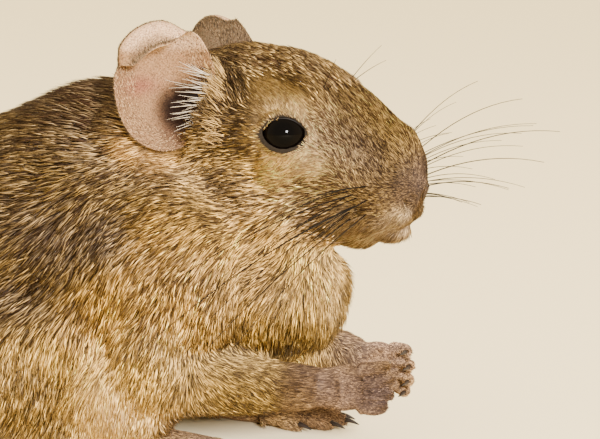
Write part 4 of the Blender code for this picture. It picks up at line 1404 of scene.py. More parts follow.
    def build(self, lie: Lie) -> bpy.types.Object:
        """Runs the nodes together, smooths the cuts, and sinks the surface under the coat.

        Args:
            lie: the coat over it.

        Returns:
            The skin.
        """
        skin = self.joined()
        grow = skin.modifiers.new("grow", "DISPLACE")
        grow.mid_level = 0
        grow.strength = self.swell * MM
        fuse = skin.modifiers.new("fuse", "REMESH")
        fuse.mode = "VOXEL"
        fuse.voxel_size = self.voxel * MM
        settled(skin)
        bm = bmesh.new()
        bm.from_mesh(skin.data)
        keep_largest(bm)
        bm.to_mesh(skin.data)
        bm.free()
        self.smooth(skin, self.rounds[0])
        places, normals, _ = read_mesh(skin.data)
        here = self.ground.millimetres(places)
        ear = np.minimum(*(self.ear_gap(here, side) for side in Side))
        away = eased(ear, 0.95, 1.5)
        depth = lie.depth_at(here) * away + self.ear_depth * (1 - away)
        places = places - normals * ((depth + self.swell * 0.5) * MM)[:, None]
        skin.data.vertices.foreach_set("co", places.ravel())
        self.smooth(skin, self.rounds[1])
        thin = skin.modifiers.new("thin", "DECIMATE")
        thin.ratio = min(1.0, self.faces / (2 * len(skin.data.polygons)))
        thin.use_collapse_triangulate = True
        settled(skin)
        self.press(skin)
        return skin

    def smooth(self, skin: bpy.types.Object, rounds: int) -> None:
        """Smooths the skin, gently where its small forms are.

        Args:
            skin: the object.
            rounds: of smoothing.
        """
        places, _, _ = read_mesh(skin.data)
        soft = self.softness(self.ground.millimetres(places))
        group = skin.vertex_groups.new(name="soft")
        levels = 10
        for level in range(levels):
            share = (level + 1) / levels
            members = np.flatnonzero((soft > share - 1 / levels) & (soft <= share + 1e-9))
            group.add(members.tolist(), share, "REPLACE")
        soften = skin.modifiers.new("soften", "SMOOTH")
        soften.factor = 0.5
        soften.iterations = rounds
        soften.vertex_group = group.name
        settled(skin)
        skin.vertex_groups.clear()

    def press(self, skin: bpy.types.Object) -> None:
        """Presses nostrils, lips and the slits between the fingers into the skin.

        Args:
            skin: the object, whose mesh is made finer there.
        """
        bm = bmesh.new()
        bm.from_mesh(skin.data)
        for _ in range(2):
            places = folded(self.ground.corners(bm))
            near = np.min([groove.gap(places) - groove.width for groove in GROOVES.values()], 0) < self.fine
            bm.edges.ensure_lookup_table()
            edges = [e for e in bm.edges if near[e.verts[0].index] and near[e.verts[1].index]]
            bmesh.ops.subdivide_edges(bm, edges=edges, cuts=1)
            bmesh.ops.triangulate(bm, faces=[f for f in bm.faces if len(f.verts) > 3])
            bm.verts.index_update()
        bm.normal_update()
        places = folded(self.ground.corners(bm))
        sink = np.zeros(len(places))
        for groove in GROOVES.values():
            sink = np.maximum(sink, groove.depth * np.exp(-((groove.gap(places) / groove.width) ** 2)))
        for vert, deep, normal in zip(bm.verts, sink, [v.normal.copy() for v in bm.verts]):
            vert.co -= normal * float(deep) * MM
        bm.to_mesh(skin.data)
        bm.free()
        skin.data.shade_smooth()

    def colours(self, places: np.ndarray, lie: Lie) -> np.ndarray:
        """The skin's colours: dark under the coat, bare at nose, lids and soles, with painted shade in the
        grooves.

        Args:
            places: corners in mm.
            lie: the coat over them.

        Returns:
            One colour a corner.
        """
        found = lie.blend(places)
        tint = found.tones[:, 0] * 0.30 + found.tones[:, 1] * 0.3
        bare = found.tones[:, 0] * 0.9
        tint = mixed(tint, bare, 1 - eased(found.depth, 0.15, 0.5))
        even = folded(places)
        nose = np.linalg.norm(even - NOSE_PAD, axis=1)
        tint = mixed(tint, Tint.NOSE.albedo, 1 - eased(nose, 1.6, 3.4))
        # Painted shade: each groove is darkened with its tint as the shadow inside it.
        for groove in GROOVES.values():
            near = np.exp(-((groove.gap(even) / (groove.width * 1.1)) ** 2))
            tint = mixed(tint, groove.tint.albedo, near)
        gap = EyeShape.gap(even)
        return mixed(tint, Tint.CORNER.albedo, 1 - eased(gap, 0.45, 0.9))


@dataclass
class Coat:
    """The fur: tufts over the whole skin, in pieces by part of the body.

    Attributes:
        ground: turns places to metres.
        lie: how the coat lies everywhere.
        nodes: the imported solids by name.
        long_cover: about how many bent tufts lie over each spot of long coat.
        short_cover: about how many straight tufts lie over each spot of short coat.
        under_cover: about how many straight tufts lie over each spot of long coat.
        limit: triangles that one piece may hold.
        bare_ear: how near an ear's own surface no coat grows, in mm.
        bare_lid: how near the eyes' openings no coat grows, in mm.
        bare_nose: how far round the middle of the nose's pad no coat grows, in mm.
        bare_floor: how near the floor no coat grows, in mm.
        bare_sole: how high the bare soles reach, in mm.
        ear_box: how far from an ear's middle its own surface is looked for, in mm.
    """

    ground: Ground
    lie: Lie
    nodes: dict
    long_cover: float = 4.4
    short_cover: float = 7.5
    under_cover: float = 5.5
    limit: int = 196000
    bare_ear: float = 0.8
    bare_lid: float = 0.15
    bare_nose: float = 1.2
    bare_floor: float = 0.35
    bare_sole: float = 1.2
    ear_box: tuple = (11, 13, 10)

    def clear(self, places: np.ndarray, normals: np.ndarray) -> np.ndarray:
        """Which spots of the skin bear hair: not the lids, the nostrils, the ears or the soles.

        Args:
            places: of the spots, in mm.
            normals: of the skin there.

        Returns:
            True for each spot that bears hair.
        """
        even = folded(places)
        keep = EyeShape.gap(even) > self.bare_lid
        keep &= np.linalg.norm(even - NOSE_PAD, axis=1) > self.bare_nose
        sole = (normals[:, 2] < -0.7) & (places[:, 2] < self.bare_sole)
        keep &= (places[:, 2] > self.bare_floor) & ~sole
        for groove in GROOVES.values():
            keep &= groove.gap(even) > groove.bare
        metres = self.ground.metres(places)
        for side in Side:
            ear = self.nodes[f"ear_{side.word}"]
            tree = BVHTree.FromPolygons(
                [v.co.copy() for v in ear.data.vertices], [tuple(p.vertices) for p in ear.data.polygons]
            )
            local = EarFrame.of(side, self.ground).local(metres)
            near = (np.abs(local - (*EAR_MIDDLE, -2)) < self.ear_box).all(1) & keep
            for k in np.flatnonzero(near):
                keep[k] = tree.find_nearest(metres[k])[3] > self.bare_ear * MM
        return keep

    def grow(self, skin: bpy.types.Object, regions: dict) -> list[bpy.types.Object]:
        """Grows the whole coat.

        Args:
            skin: the finished skin.
            regions: the node names whose flesh each piece of coat covers.

        Returns:
            The pieces.
        """
        places, normals, triangles = read_mesh(skin.data)
        places = self.ground.millimetres(places)
        middles = places[triangles].mean(1)
        owner = self.owners(middles)
        pieces = []
        for number, (name, (names, sides)) in enumerate(regions.items()):
            chosen = np.isin(owner, names)
            if len(sides) == 1:
                chosen &= middles[:, 1] * sides[0].value > 0
            surface = Scatter(places, normals, triangles[chosen])
            pieces.append(self.piece(name, surface, middles[chosen], number))
        return pieces

    def owners(self, middles: np.ndarray) -> np.ndarray:
        """Which node each triangle lies nearest to.

        Args:
            middles: of the triangles, in mm.

        Returns:
            The nodes' names.
        """
        names = sorted(name for name in self.nodes if "claw" not in name and "eye" not in name)
        rows = [(v.co.copy(), k) for k, name in enumerate(names) for v in self.nodes[name].data.vertices]
        tree = KDTree(len(rows))
        for at, k in rows:
            tree.insert(at, k)
        tree.balance()
        found = [tree.find(at)[1] for at in self.ground.metres(middles)]
        return np.array(names)[found]

    def piece(self, name: str, surface: Scatter, middles: np.ndarray, number: int) -> bpy.types.Object:
        """One piece of coat.

        Args:
            name: of the piece.
            surface: the skin that it covers.
            middles: of the skin's triangles, in mm.
            number: of the piece, for its own random draw.

        Returns:
            The piece.
        """
        rng = np.random.default_rng(SEED + number)
        found = self.lie.blend(middles)
        long = eased(found.length, 2.0, 3.2)
        per_cover = 1 / (found.width * found.length)
        under = self.short_cover + (self.under_cover - self.short_cover) * long
        drawn = [
            (BENT, surface.draw(per_cover * self.long_cover * long * drawn_share(), rng)),
            (STRAIGHT, surface.draw(per_cover * under * drawn_share(), rng)),
        ]
        drawn = [(kind, spots.kept(self.clear(spots.roots, spots.facing))) for kind, spots in drawn]
        wanted = sum(len(spots.owner) * kind.triangles for kind, spots in drawn)
        if wanted > self.limit:
            LOG.warning("%s: %d triangles cut to %d", name, wanted, self.limit)
            share = self.limit / wanted
            drawn = [(kind, spots.kept(rng.random(len(spots.owner)) < share)) for kind, spots in drawn]
        groups = [self.tufts(kind, spots, rng) for kind, spots in drawn if len(spots.owner)]
        LOG.info("%s: %s tufts", name, " and ".join(str(len(tufts.roots)) for tufts in groups))
        return add_piece(name, bundle(name, groups, self.ground))

    def tufts(self, kind: TuftKind, spots: Scatter, rng: np.random.Generator) -> Tufts:
        """The tufts on drawn spots.

        Args:
            kind: their faces.
            spots: their roots.
            rng: the random draw.

        Returns:
            The tufts.
        """
        roots, facing = spots.roots, spots.facing
        found = self.lie.at_skin(roots, facing)
        count = len(roots)
        angle = Pattern.TURN.at(roots)[:, 0] * 0.12 + rng.normal(0, 0.12, count)
        across = np.cross(found.lie, facing)
        ways = found.lie * np.cos(angle)[:, None] + across * np.sin(angle)[:, None]
        streak = 0.18 * eased(found.length, 1.5, 3.5) * Pattern.STREAK.at(roots)[:, 0]
        patch = 0.1 * Pattern.PATCH.at(roots)[:, 0]
        pale = np.clip(0.45 + 0.38 * rng.normal(size=count) + streak + patch, 0, 1)
        length = found.length * rng.uniform(0.75, 1.2, count) * (1.1 - 0.2 * pale)
        rise = found.depth * rng.uniform(0.75, 1.2, count) * (1 if kind is BENT else 0.9)
        rise = np.maximum(rise, 0.06 + 0.14 * length)
        sway = Pattern.SWAY.at(roots) * (0.07 * found.length + 0.04)[:, None]
        width = found.width * rng.uniform(0.75, 1.2, count)
        mottle = 1 + 0.14 * Pattern.MOTTLE.at(roots)[:, 0] + 0.07 * Pattern.FINE_MOTTLE.at(roots)[:, 0]
        warmth = 1 + Pattern.WARMTH.at(roots) * (0.02, 0.0, -0.12)
        shade = np.clip(mottle, 0.6, 1.4)[:, None, None] * warmth[:, None]
        colours = np.clip(self.colours(found.tones, pale, rng) * shade, 0, 0.95)
        flat = spots.unwrapped(self.ground)
        return Tufts(kind, roots, facing, ways, length, rise, width, sway, colours, flat)

    def colours(self, tones: np.ndarray, pale: np.ndarray, rng: np.random.Generator) -> np.ndarray:
        """Root, bend and tip colours of each tuft.

        Args:
            tones: middle, dark and pale colours at each tuft.
            pale: from 0 for the darkest hairs to 1 for the palest.
            rng: the random draw.

        Returns:
            Three colours a tuft.
        """
        middle, dark, light = tones[:, 0], tones[:, 1], tones[:, 2]
        low = np.clip(pale * 2, 0, 1)[:, None]
        high = np.clip(pale * 2 - 1, 0, 1)[:, None]
        main = dark * (1 - low) + middle * low
        main = main * (1 - high) + light * high
        tipped = (rng.random(len(pale)) < 0.4)[:, None]
        band = np.where(tipped, main * 1.25, main * 0.8)
        tip = np.where(tipped, dark * 0.8, main * 1.25)
        return np.stack([dark * 0.5, band, tip], 1)


@dataclass
class Ear:
    """One ear: a thin cup with a folded rim, its fine down and the hairs across its hollow.

    Attributes:
        side: the ear's side.
        ground: turns places to metres.
        node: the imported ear.
        finishes: of all pieces.
        down: short hairs to a square millimetre.
        down_width: of such a hair, in mm.
        down_sunk: how deep it stands in the skin, in mm.
        hairs: long hairs across the hollow.
        hair_radius: of such a hair at its root, in mm.
        fringe_hairs: hairs that lean over the front edge.
        fringe_radius: of such a hair at its root, in mm.
        steps: along a long hair.
    """

    side: Side
    ground: Ground
    node: bpy.types.Object
    finishes: Finishes
    down: float = 11.0
    down_width: float = 0.10
    down_sunk: float = 0.03
    hairs: int = 110
    hair_radius: float = 0.07
    fringe_hairs: int = 900
    fringe_radius: float = 0.08
    steps: int = 7

    @property
    def frame(self) -> EarFrame:
        """Where the ear stands."""
        return EarFrame.of(self.side, self.ground)

    def build(self) -> bpy.types.Object:
        """The ear's skin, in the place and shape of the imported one.

        Returns:
            The piece.
        """
        bm = merged(self.node)
        bmesh.ops.join_triangles(bm, faces=bm.faces, angle_face_threshold=3.1, angle_shape_threshold=3.1)
        piece = refined(piece_from(f"ear_flap_{self.side.word}", bm))
        places, normals, _ = read_mesh(piece.data)
        paint(piece.data, self.colours(places, normals))
        return finished(piece, self.finishes.ear)

    @staticmethod
    def hollow_gap(a: np.ndarray, b: np.ndarray) -> np.ndarray:
        """How far across and up the ear places lie from the patch of painted shade in its hollow, squared:
        1 at the edge.
        """
        return ((a - 2.6) / 5.2) ** 2 + ((b + 2.7) / 4.5) ** 2

    def inside(self, places: np.ndarray, normals: np.ndarray) -> np.ndarray:
        """1 on the ear's hollow side and 0 on its back.

        Args:
            places: in metres, one a row.
            normals: of the ear there.

        Returns:
            The shares.
        """
        inwards = unit(np.array((*EAR_MIDDLE, 5.0)) - self.frame.local(places))
        return eased((normals @ self.frame.axes.T * inwards).sum(1), -0.1, 0.25)

    def colours(self, places: np.ndarray, normals: np.ndarray) -> np.ndarray:
        """Pink inside with a flushed fold, painted shade in the hollow and a painted dusky shade below it,
        grey-brown outside.

        Args:
            places: of the ear's corners, in metres.
            normals: at the corners.

        Returns:
            One colour a corner.
        """
        a, b, _ = self.frame.local(places).T
        inside = self.inside(places, normals)
        tint = np.tile(Tint.EAR_OUTSIDE.albedo, (len(places), 1))
        tint = mixed(tint, Tint.EAR_INSIDE.albedo, inside)
        fold = eased(b, 6.5, 8.0) * inside
        tint = mixed(tint, Tint.EAR_RIM.albedo * 0.85, 0.8 * fold)
        flush = np.exp(-(((a - 10.6) / 3.4) ** 2) - ((b - 1.2) / 1.7) ** 2) * inside
        tint = mixed(tint, Tint.EAR_FLUSH.albedo, 0.8 * flush)
        # Painted shade: a dusky patch low in the cup, where the base of the ear lies in shadow.
        dusk = np.exp(-((((a - 2.5) / 5.5) ** 2 + ((b + 5.0) / 5.5) ** 2) ** 2)) * inside
        tint = mixed(tint, Tint.EAR_DUSK.albedo, 0.85 * dusk)
        # Painted shade: the hollow is darkened nearly to black as the shadow deep in the cup.
        hollow = np.exp(-(self.hollow_gap(a, b) ** 3)) * inside
        return mixed(tint, Tint.EAR_HOLLOW.albedo, hollow)

    def fine_down(self, flap: bpy.types.Object) -> bpy.types.Object:
        """Short hairs all over the ear, dark and pale, pointing to its rim.

        Args:
            flap: the ear's skin.

        Returns:
            The piece.
        """
        rng = Draw.EAR_DOWN.start()
        places, normals, triangles = read_mesh(flap.data)
        surface = Scatter(self.ground.millimetres(places), normals, triangles)
        spots = surface.draw(np.full(len(triangles), self.down * drawn_share()), rng)
        frame = self.frame
        a, b, c = frame.local(self.ground.metres(spots.roots)).T
        inside = self.inside(self.ground.metres(spots.roots), spots.facing)
        # No down grows on the painted shade of the hollow.
        hollow = self.hollow_gap(a, b) < 1
        spots = spots.kept((rng.random(len(a)) > 0.35 * inside) & ~(hollow & (inside > 0.5)) & (c > -4))
        roots, facing = spots.roots, spots.facing
        a, b, _ = frame.local(self.ground.metres(roots)).T
        inside = self.inside(self.ground.metres(roots), facing)
        to_rim = unit(np.c_[a - 5, b + 6, np.zeros(len(a))])
        lie = to_rim @ frame.axes + rng.normal(0, 0.18, roots.shape)
        ways = unit(lie - facing * (lie * facing).sum(1, keepdims=True))
        count = len(roots)
        middle, dark, light = np.array(Tone.EAR.value)
        shade = np.where((rng.random(count) < 0.55)[:, None], dark, light * 0.8)
        main = np.where((inside > 0.5)[:, None], shade, shade * 0.4 + middle * 0.2)
        colours = np.stack([main * 0.8, main, main], 1)
        length = rng.uniform(0.5, 0.9, count) * (1 - 0.35 * inside)
        rise = length * 0.22
        width = np.full(count, self.down_width)
        sway = rng.normal(0, 0.04, (count, 2))
        flat = spots.unwrapped(self.ground)
        tufts = Tufts(
            STRAIGHT, roots, facing, ways, length, rise, width, sway, colours, flat, self.down_sunk
        )
        name = f"ear_down_{self.side.word}"
        return finished(add_piece(name, bundle(name, [tufts], self.ground)), self.finishes.coat)

    def long_hairs(self) -> bpy.types.Object:
        """The pale and dark hairs that cross the hollow from its front edge.

        Returns:
            The piece.
        """
        rng = Draw.EAR_HAIR.start()
        share = np.linspace(0, 1, self.steps)[:, None]
        lines, colours = [], []
        for k in range(self.hairs):
            height = -6.0 + 9.5 * (k + rng.random()) / self.hairs
            start = np.array((rng.uniform(-1.6, -0.3), height, rng.uniform(-1.2, -0.2)))
            reach = rng.uniform(3.5, 8.4) * (1 - 0.35 * abs(height + 1) / 5)
            fan = 0.36 * (height + 0.8) / 4 + rng.normal(0, 0.10)
            way = unit(np.array((1.0, fan, rng.uniform(-0.05, 0.16))))
            bend = np.array((0, 0.8 * fan + rng.normal(0, 0.3), -1.2)) * share**2
            lines.append(start + way * reach * share + bend)
            if rng.random() < 0.4:
                colours.append(Tint.DARK_HAIR.albedo)
            else:
                colours.append(Tint.PALE_HAIR.albedo * rng.uniform(0.5, 1.2))
        return self.hairs_from("ear_hair", np.array(lines), self.hair_radius, np.array(colours))

    def fringe(self, skin: bpy.types.Object) -> bpy.types.Object:
        """The head's own hairs that lean over the ear's front edge.

        Args:
            skin: that they stand on.

        Returns:
            The piece.
        """
        rng = Draw.EAR_FRINGE.start()
        frame, axes = self.frame, self.frame.axes
        tree = BVHTree.FromObject(skin, bpy.context.evaluated_depsgraph_get())
        share = np.linspace(0, 1, self.steps)[:, None]
        lines, colours = [], []
        tones = np.array(Tone.CHEEK.value)
        for _ in range(self.fringe_hairs):
            height = rng.uniform(-8.5, 9.0)
            near = np.array((rng.uniform(-2.8, -1.2), height, rng.uniform(-2, 2)))
            root = tree.find_nearest(Vector(near @ axes * MM) + frame.root)[0]
            start = frame.local(np.array(root)[None])[0]
            if start[0] > -0.5 or np.linalg.norm(start - near) > 4:
                continue
            rise = 0.75 + 0.06 * height
            way = unit(np.array((0.7, rise + rng.normal(0, 0.22), 0.40 + rng.normal(0, 0.12))))
            reach = rng.uniform(1.8, 3.6)
            lines.append(start + way * reach * share + np.array((0.2, 0, -0.9)) * share**2)
            colours.append(tones[1] if rng.random() < 0.3 else tones[2] * rng.uniform(0.3, 1.15))
        return self.hairs_from("ear_fringe", np.array(lines), self.fringe_radius, np.array(colours))

    def hairs_from(
        self, name: str, lines: np.ndarray, radius: float, colours: np.ndarray
    ) -> bpy.types.Object:
        """Hairs that are given in the ear's own frame.

        Args:
            name: of the piece, without its side.
            lines: places along each hair, across, up and out of the ear, in mm.
            radius: of a hair at its root, in mm.
            colours: one for each hair.

        Returns:
            The piece.
        """
        root = self.ground.millimetres(np.array(self.frame.root)[None])[0]
        radii = np.tile(np.linspace(1, 0.2, self.steps) * radius, (len(lines), 1))
        paths, name = root + lines @ self.frame.axes, f"{name}_{self.side.word}"
        return finished(strands(name, paths, radii, colours, self.ground, 3), self.finishes.coat)


@dataclass
class Eye:
    """One eye: a dark glossy ball behind an almond rim of lids.

    Attributes:
        side: the eye's side.
        ground: turns places to metres.
        finishes: of all pieces.
        rim: half the rim's thickness, in mm.
        proud: how far the rim stands out of the ball, in mm.
        fuller: how much the ball's clear front bulges, as a share of its radius.
        pupil: where the pupil ends and the iris is full, in degrees from the line of sight.
    """

    side: Side
    ground: Ground
    finishes: Finishes
    rim: float = 0.2
    proud: float = 0.10
    fuller: float = 0.10
    pupil: tuple = (20, 32)

    @property
    def frame(self) -> Matrix:
        """The eye's own frame: X along the opening, Y across it, Z the line of sight."""
        axes = [Vector(axis * self.side.flip) for axis in (EyeShape.ACROSS, EyeShape.OVER, EyeShape.LOOK)]
        return Matrix.Translation(self.ground.spot(*EYE_AT, self.side)) @ Matrix(axes).transposed().to_4x4()

    def ball(self) -> bpy.types.Object:
        """The ball, its clear front a little fuller.

        Returns:
            The piece.
        """
        bm = bmesh.new()
        bmesh.ops.create_uvsphere(bm, u_segments=64, v_segments=32, radius=EYE_RADIUS * MM)
        angles = np.array([math.degrees(v.co.angle(UP)) for v in bm.verts])
        for vert in bm.verts:
            vert.co *= 1 + self.fuller * max(vert.co.z / (EYE_RADIUS * MM) - 0.55, 0)
        bm.transform(self.frame)
        bmesh.ops.recalc_face_normals(bm, faces=bm.faces)
        piece = piece_from(f"eye_ball_{self.side.word}", bm)
        colours = np.tile(Tint.PUPIL.albedo, (len(angles), 1))
        paint(piece.data, mixed(colours, Tint.IRIS.albedo, eased(angles, *self.pupil)))
        return finished(piece, self.finishes.eye)

    def lids(self) -> bpy.types.Object:
        """The dark rim round the opening: a ring spun round, then drawn to the almond.

        Returns:
            The piece.
        """
        bm = bmesh.new()
        made = bmesh.ops.create_circle(
            bm,
            segments=10,
            radius=self.rim * MM,
            matrix=Matrix.Translation((MM, 0, 0)) @ Matrix.Rotation(math.pi / 2, 4, "X"),
        )
        bmesh.ops.spin(
            bm,
            geom=made["verts"] + bm.edges[:],
            cent=(0, 0, 0),
            axis=(0, 0, 1),
            angle=2 * math.pi,
            steps=72,
            use_merge=True,
        )
        for vert in bm.verts:
            x, y, z = vert.co / MM
            across, over = EyeShape.outline(math.atan2(y, x), math.hypot(x, y) - 1)
            over -= EyeShape.LOWERED
            depth = math.sqrt(max((EYE_RADIUS + self.proud) ** 2 - across**2 - over**2, 0.3))
            vert.co = Vector((across, over, depth + z)) * MM
        bm.transform(self.frame)
        bmesh.ops.recalc_face_normals(bm, faces=bm.faces)
        piece = piece_from(f"lids_{self.side.word}", bm)
        paint_plain(piece.data, Tint.LID)
        return finished(piece, self.finishes.lid)


@dataclass
class Claw:
    """One claw, its solid made smooth.

    Attributes:
        node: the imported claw.
        finishes: of all pieces.
    """

    node: bpy.types.Object
    finishes: Finishes

    def build(self, name: str) -> bpy.types.Object:
        """The claw's horn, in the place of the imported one.

        Args:
            name: of the piece.

        Returns:
            The piece.
        """
        piece = refined(piece_from(name, merged(self.node)))
        paint_plain(piece.data, Tint.CLAW)
        return finished(piece, self.finishes.claw)


def strands(
    name: str, paths: np.ndarray, radii: np.ndarray, colours: np.ndarray, ground: Ground, sides: int = 4
) -> bpy.types.Object:
    """Joined round hairs.

    Args:
        name: of the piece.
        paths: the same number of places along each hair, in mm.
        radii: of each hair at each place, in mm.
        colours: one for each hair.
        ground: turns places to metres.
        sides: of a hair.

    Returns:
        The piece.
    """
    count, steps, _ = paths.shape
    ways = unit(np.gradient(paths, axis=1))
    side = unit(np.cross(ways, (0.13, 0.21, 0.97)))
    over = np.cross(side, ways)
    angles = 2 * math.pi * np.arange(sides) / sides
    ring = side[:, :, None] * np.cos(angles)[:, None] + over[:, :, None] * np.sin(angles)[:, None]
    places = paths[:, :, None] + ring * radii[:, :, None, None]
    faces = []
    for k in range(steps - 1):
        for j in range(sides):
            low, high = k * sides, (k + 1) * sides
            faces.append((low + j, high + j, high + (j + 1) % sides, low + (j + 1) % sides))
    numbers = np.array(faces)[None] + (steps * sides) * np.arange(count)[:, None, None]
    mesh = bpy.data.meshes.new(name)
    mesh.from_pydata(ground.metres(places.reshape(-1, 3)).tolist(), [], numbers.reshape(-1, 4).tolist())
    mesh.shade_smooth()
    paint(mesh, np.repeat(colours, steps * sides, axis=0))
    order = paths[:, 0][:, [0, 2]].argsort(axis=0).argsort(axis=0)
    spots = 0.02 + 0.96 * (order + 0.5) / count
    corners = np.tile(np.array(((-1, -1), (1, -1), (1, 1), (-1, 1))) * Tufts.map_reach, (len(faces), 1))
    flat = spots[:, None] + corners[None]
    mesh.uv_layers.new(name="OFBake").uv.foreach_set("vector", flat.astype(np.float32).ravel())
    return add_piece(name, mesh)


@dataclass
class Whiskers:
    """The long whiskers of both pads and the hairs over the eyes.

    Attributes:
        ground: turns places to metres.
        finishes: of all pieces.
        radius: of a whisker at its root, in mm.
        tip: of the root's radius that is left at the tip.
        finer: the radius of a finer whisker, as a share of a named one's.
        brow_finer: the same of a hair over the eyes.
        steps: along a whisker.
        right_extra: finer whiskers between the named ones of the right side.
        left_extra: the same of the left side.
        forward: how far the left side's whiskers turn forward.
    """

    ground: Ground
    finishes: Finishes
    radius: float = 0.13
    tip: float = 0.35
    finer: float = 0.75
    brow_finer: float = 0.6
    steps: int = 14
    right_extra: int = 8
    left_extra: int = 20
    forward: float = 0.14

    def between(self, first: Whisker, second: Whisker, rng: np.random.Generator) -> Whisker:
        """A finer whisker somewhere between two named ones.

        Args:
            first: a named whisker.
            second: the next one.
            rng: the random draw.

        Returns:
            The finer whisker.
        """
        part = rng.uniform(0.2, 0.8)
        at = np.array(first.at) * (1 - part) + np.array(second.at) * part
        way = np.array(first.way) * (1 - part) + np.array(second.way) * part
        at[0] -= rng.uniform(0, 3.0)
        length = (first.length + second.length) / 2 * rng.uniform(0.5, 0.95)
        way = way + rng.normal(0, 0.06, 3)
        return Whisker(tuple(at), tuple(way), length, first.droop * length / first.length)

    def line(self, whisker: Whisker, side: Side) -> np.ndarray:
        """Places along a whisker, which turns a little forward on the left."""
        turn = self.forward if side is Side.LEFT else 0
        return replace(whisker, way=(whisker.way[0] + turn, *whisker.way[1:])).line(side, self.steps)

    def build(self) -> bpy.types.Object:
        """All whiskers in one mesh.

        Returns:
            The piece.
        """
        rng = Draw.WHISKERS.start()
        lines, radii, colours = [], [], []
        taper = np.linspace(1, self.tip, self.steps)
        for side, named in WHISKERS.items():
            chosen = [(whisker, 1.0) for whisker in named]
            for k in range(self.left_extra if side is Side.LEFT else self.right_extra):
                pair = named[k % (len(named) - 1)], named[k % (len(named) - 1) + 1]
                chosen.append((self.between(*pair, rng), self.finer))
            for whisker, size in chosen:
                lines.append(self.line(whisker, side))
                radii.append(taper * self.radius * size)
                colours.append(Tint.DARK_HAIR.albedo * rng.uniform(0.7, 2.0))
        for side in Side:
            for x, way, length in ((31.6, (0.45, 0.5, 0.74), 9), (32.6, (0.62, 0.52, 0.58), 7)):
                brow = Whisker((x, 7.2, 62.4), way, length, 0.8)
                lines.append(brow.line(side, self.steps))
                radii.append(taper * self.radius * self.brow_finer)
                colours.append(Tint.DARK_HAIR.albedo)
        piece = strands("whiskers", np.array(lines), np.array(radii), np.array(colours), self.ground)
        return finished(piece, self.finishes.hair)


@dataclass
class Studio:
    """Pale floor, soft light and the camera.

    Attributes:
        ground: turns places to metres.
        azimuth: of the camera round the animal, in degrees.
        elevation: of the camera, in degrees.
        distance: of the camera from its aim, in mm.
        field: width of the picture at the aim, in mm.
        sensor: width of the camera's sensor, in mm.
        aim: where the camera looks, in mm.
        lamp_distance: of a lamp from the aim, in mm.
        floor_colour: of the floor.
        sky_colour: of the light all round.
        lamp_colour: of a lamp.
    """

    ground: Ground
    azimuth: float = 20.0
    elevation: float = 10.0
    distance: float = 430.0
    field: float = 100.0
    sensor: float = 36.0
    aim: tuple = (24.82, 0.0, 38.97)
    lamp_distance: float = 1200
    floor_colour: tuple = (0.93, 0.79, 0.48, 1)
    sky_colour: tuple = (1.0, 0.84, 0.58, 1)
    lamp_colour: tuple = (0.98, 0.96, 0.98)

    def floor(self) -> bpy.types.Object:
        """A wide pale floor.

        Returns:
            The floor.
        """
        bm = bmesh.new()
        bmesh.ops.create_grid(bm, x_segments=2, y_segments=2, size=3.0)
        piece = piece_from("floor", bm)
        material = bpy.data.materials.new("floor")
        material.use_nodes = True
        shader = material.node_tree.nodes["Principled BSDF"]
        shader.inputs["Base Color"].default_value = self.floor_colour
        shader.inputs["Roughness"].default_value = 0.9
        return finished(piece, material)

    def view_from(self, azimuth: float, elevation: float, distance: float) -> Vector:
        """A place round the aim.

        Args:
            azimuth: round the animal, in degrees.
            elevation: in degrees.
            distance: from the aim, in mm.

        Returns:
            The place, in metres.
        """
        a, e = math.radians(azimuth), math.radians(elevation)
        way = Vector((math.sin(a) * math.cos(e), -math.cos(a) * math.cos(e), math.sin(e)))
        return self.ground.spot(*self.aim) + way * distance * MM

    def aimed(self, made: bpy.types.Object, azimuth: float, elevation: float, distance: float) -> None:
        """Puts a camera or lamp round the aim and turns it there.

        Args:
            made: the camera or lamp.
            azimuth: round the animal, in degrees.
            elevation: in degrees.
            distance: from the aim, in mm.
        """
        bpy.context.scene.collection.objects.link(made)
        made.location = self.view_from(azimuth, elevation, distance)
        way = self.ground.spot(*self.aim) - made.location
        made.rotation_euler = way.to_track_quat("-Z", "Y").to_euler()

    def camera(self) -> None:
        """The camera, at the picture's angle and framing."""
        lens = bpy.data.cameras.new("camera")
        lens.sensor_width = self.sensor
        lens.lens = self.sensor * self.distance / self.field
        lens.clip_start = 0.01
        made = bpy.data.objects.new("camera", lens)
        self.aimed(made, self.azimuth, self.elevation, self.distance)
        bpy.context.scene.camera = made

    def lamp(self, name: str, azimuth: float, elevation: float, size: float, power: float) -> None:
        """A square soft lamp.

        Args:
            name: of the lamp.
            azimuth: round the animal, in degrees.
            elevation: in degrees.
            size: of its side, in mm.
            power: in watts.
        """
        light = bpy.data.lights.new(name, "AREA")
        light.size = size * MM
        light.energy = power
        light.color = self.lamp_colour
        self.aimed(bpy.data.objects.new(name, light), azimuth, elevation, self.lamp_distance)

    def light(self) -> None:
        """A pale sky all round and one soft lamp in front."""
        world = bpy.data.worlds.new("studio")
        world.use_nodes = True
        sky = world.node_tree.nodes["Background"]
        sky.inputs["Color"].default_value = self.sky_colour
        sky.inputs["Strength"].default_value = 2.5
        bpy.context.scene.world = world
        self.lamp("key", 34, 18, 200, 66)


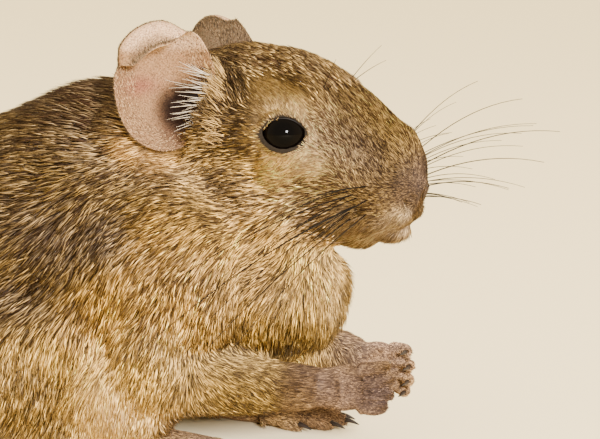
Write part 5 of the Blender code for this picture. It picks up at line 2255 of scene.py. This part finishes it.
BOTH = (Side.RIGHT, Side.LEFT)
REGIONS = {
    "coat_muzzle_right": (["muzzle"], (Side.RIGHT,)),
    "coat_muzzle_left": (["muzzle"], (Side.LEFT,)),
    "coat_head_right": (["head", "ear_right"], (Side.RIGHT,)),
    "coat_head_left": (["head", "ear_left"], (Side.LEFT,)),
    "coat_trunk_right": (["torso", "neck"], (Side.RIGHT,)),
    "coat_trunk_left": (["torso", "neck"], (Side.LEFT,)),
    "coat_forelegs": (["foreleg_right", "foreleg_left"], BOTH),
    "coat_haunch_right": (["thigh_right"], BOTH),
    "coat_haunch_left": (["thigh_left"], BOTH),
    "coat_forepaws": (["forepaw_right", "forepaw_left"], BOTH),
    "coat_hind_feet": (["hind_foot_right", "hind_foot_left"], BOTH),
    "coat_tail": (TAIL_NODES, BOTH),
}


def show(piece: bpy.types.Object, slot: str, *replaced: str) -> None:
    """Rides the piece on the body and hides the nodes that it stands for.

    Args:
        piece: the piece.
        slot: the record's material slot, which is not used.
        replaced: the nodes' names.
    """
    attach(piece, "root")
    if replaced:
        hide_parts(*replaced)
    LOG.info("%s: %d faces", piece.name, len(piece.data.polygons))


def main() -> None:
    """Builds every piece in order and reports it."""
    logging.basicConfig(level=logging.INFO, format="%(message)s")
    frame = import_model()
    nodes = frame["nodes"]
    ground = Ground.found()
    finishes = Finishes()
    studio = Studio(ground)
    studio.camera()
    tail = Tail(ground)
    lie = Lie(tail.path()[:, :3])
    hide = Hide(ground, nodes, tail)
    skin = hide.build(lie)
    places, _, _ = read_mesh(skin.data)
    paint(skin.data, hide.colours(ground.millimetres(places), lie))
    show(finished(skin, finishes.skin), "coat", *hide.flesh, *TAIL_NODES)
    for piece in Coat(ground, lie, nodes).grow(skin, REGIONS):
        show(finished(piece, finishes.coat), "coat")
    for side in Side:
        ear = Ear(side, ground, nodes[f"ear_{side.word}"], finishes)
        flap = ear.build()
        show(flap, "ear_skin", f"ear_{side.word}")
        show(ear.fine_down(flap), "coat")
        show(ear.long_hairs(), "coat")
        show(ear.fringe(skin), "coat")
        eye = Eye(side, ground, finishes)
        show(eye.ball(), "eye", f"eye_{side.word}")
        show(eye.lids(), "eye")
    show(Whiskers(ground, finishes).build(), "coat")
    show(tail.tuft(finishes.hair), "tail_brush")
    for name, node in nodes.items():
        if "claw" in name:
            show(Claw(node, finishes).build(f"horn_{name}"), "claw", name)
    studio.floor()
    studio.light()
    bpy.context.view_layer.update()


if __name__ == "__main__":
    main()
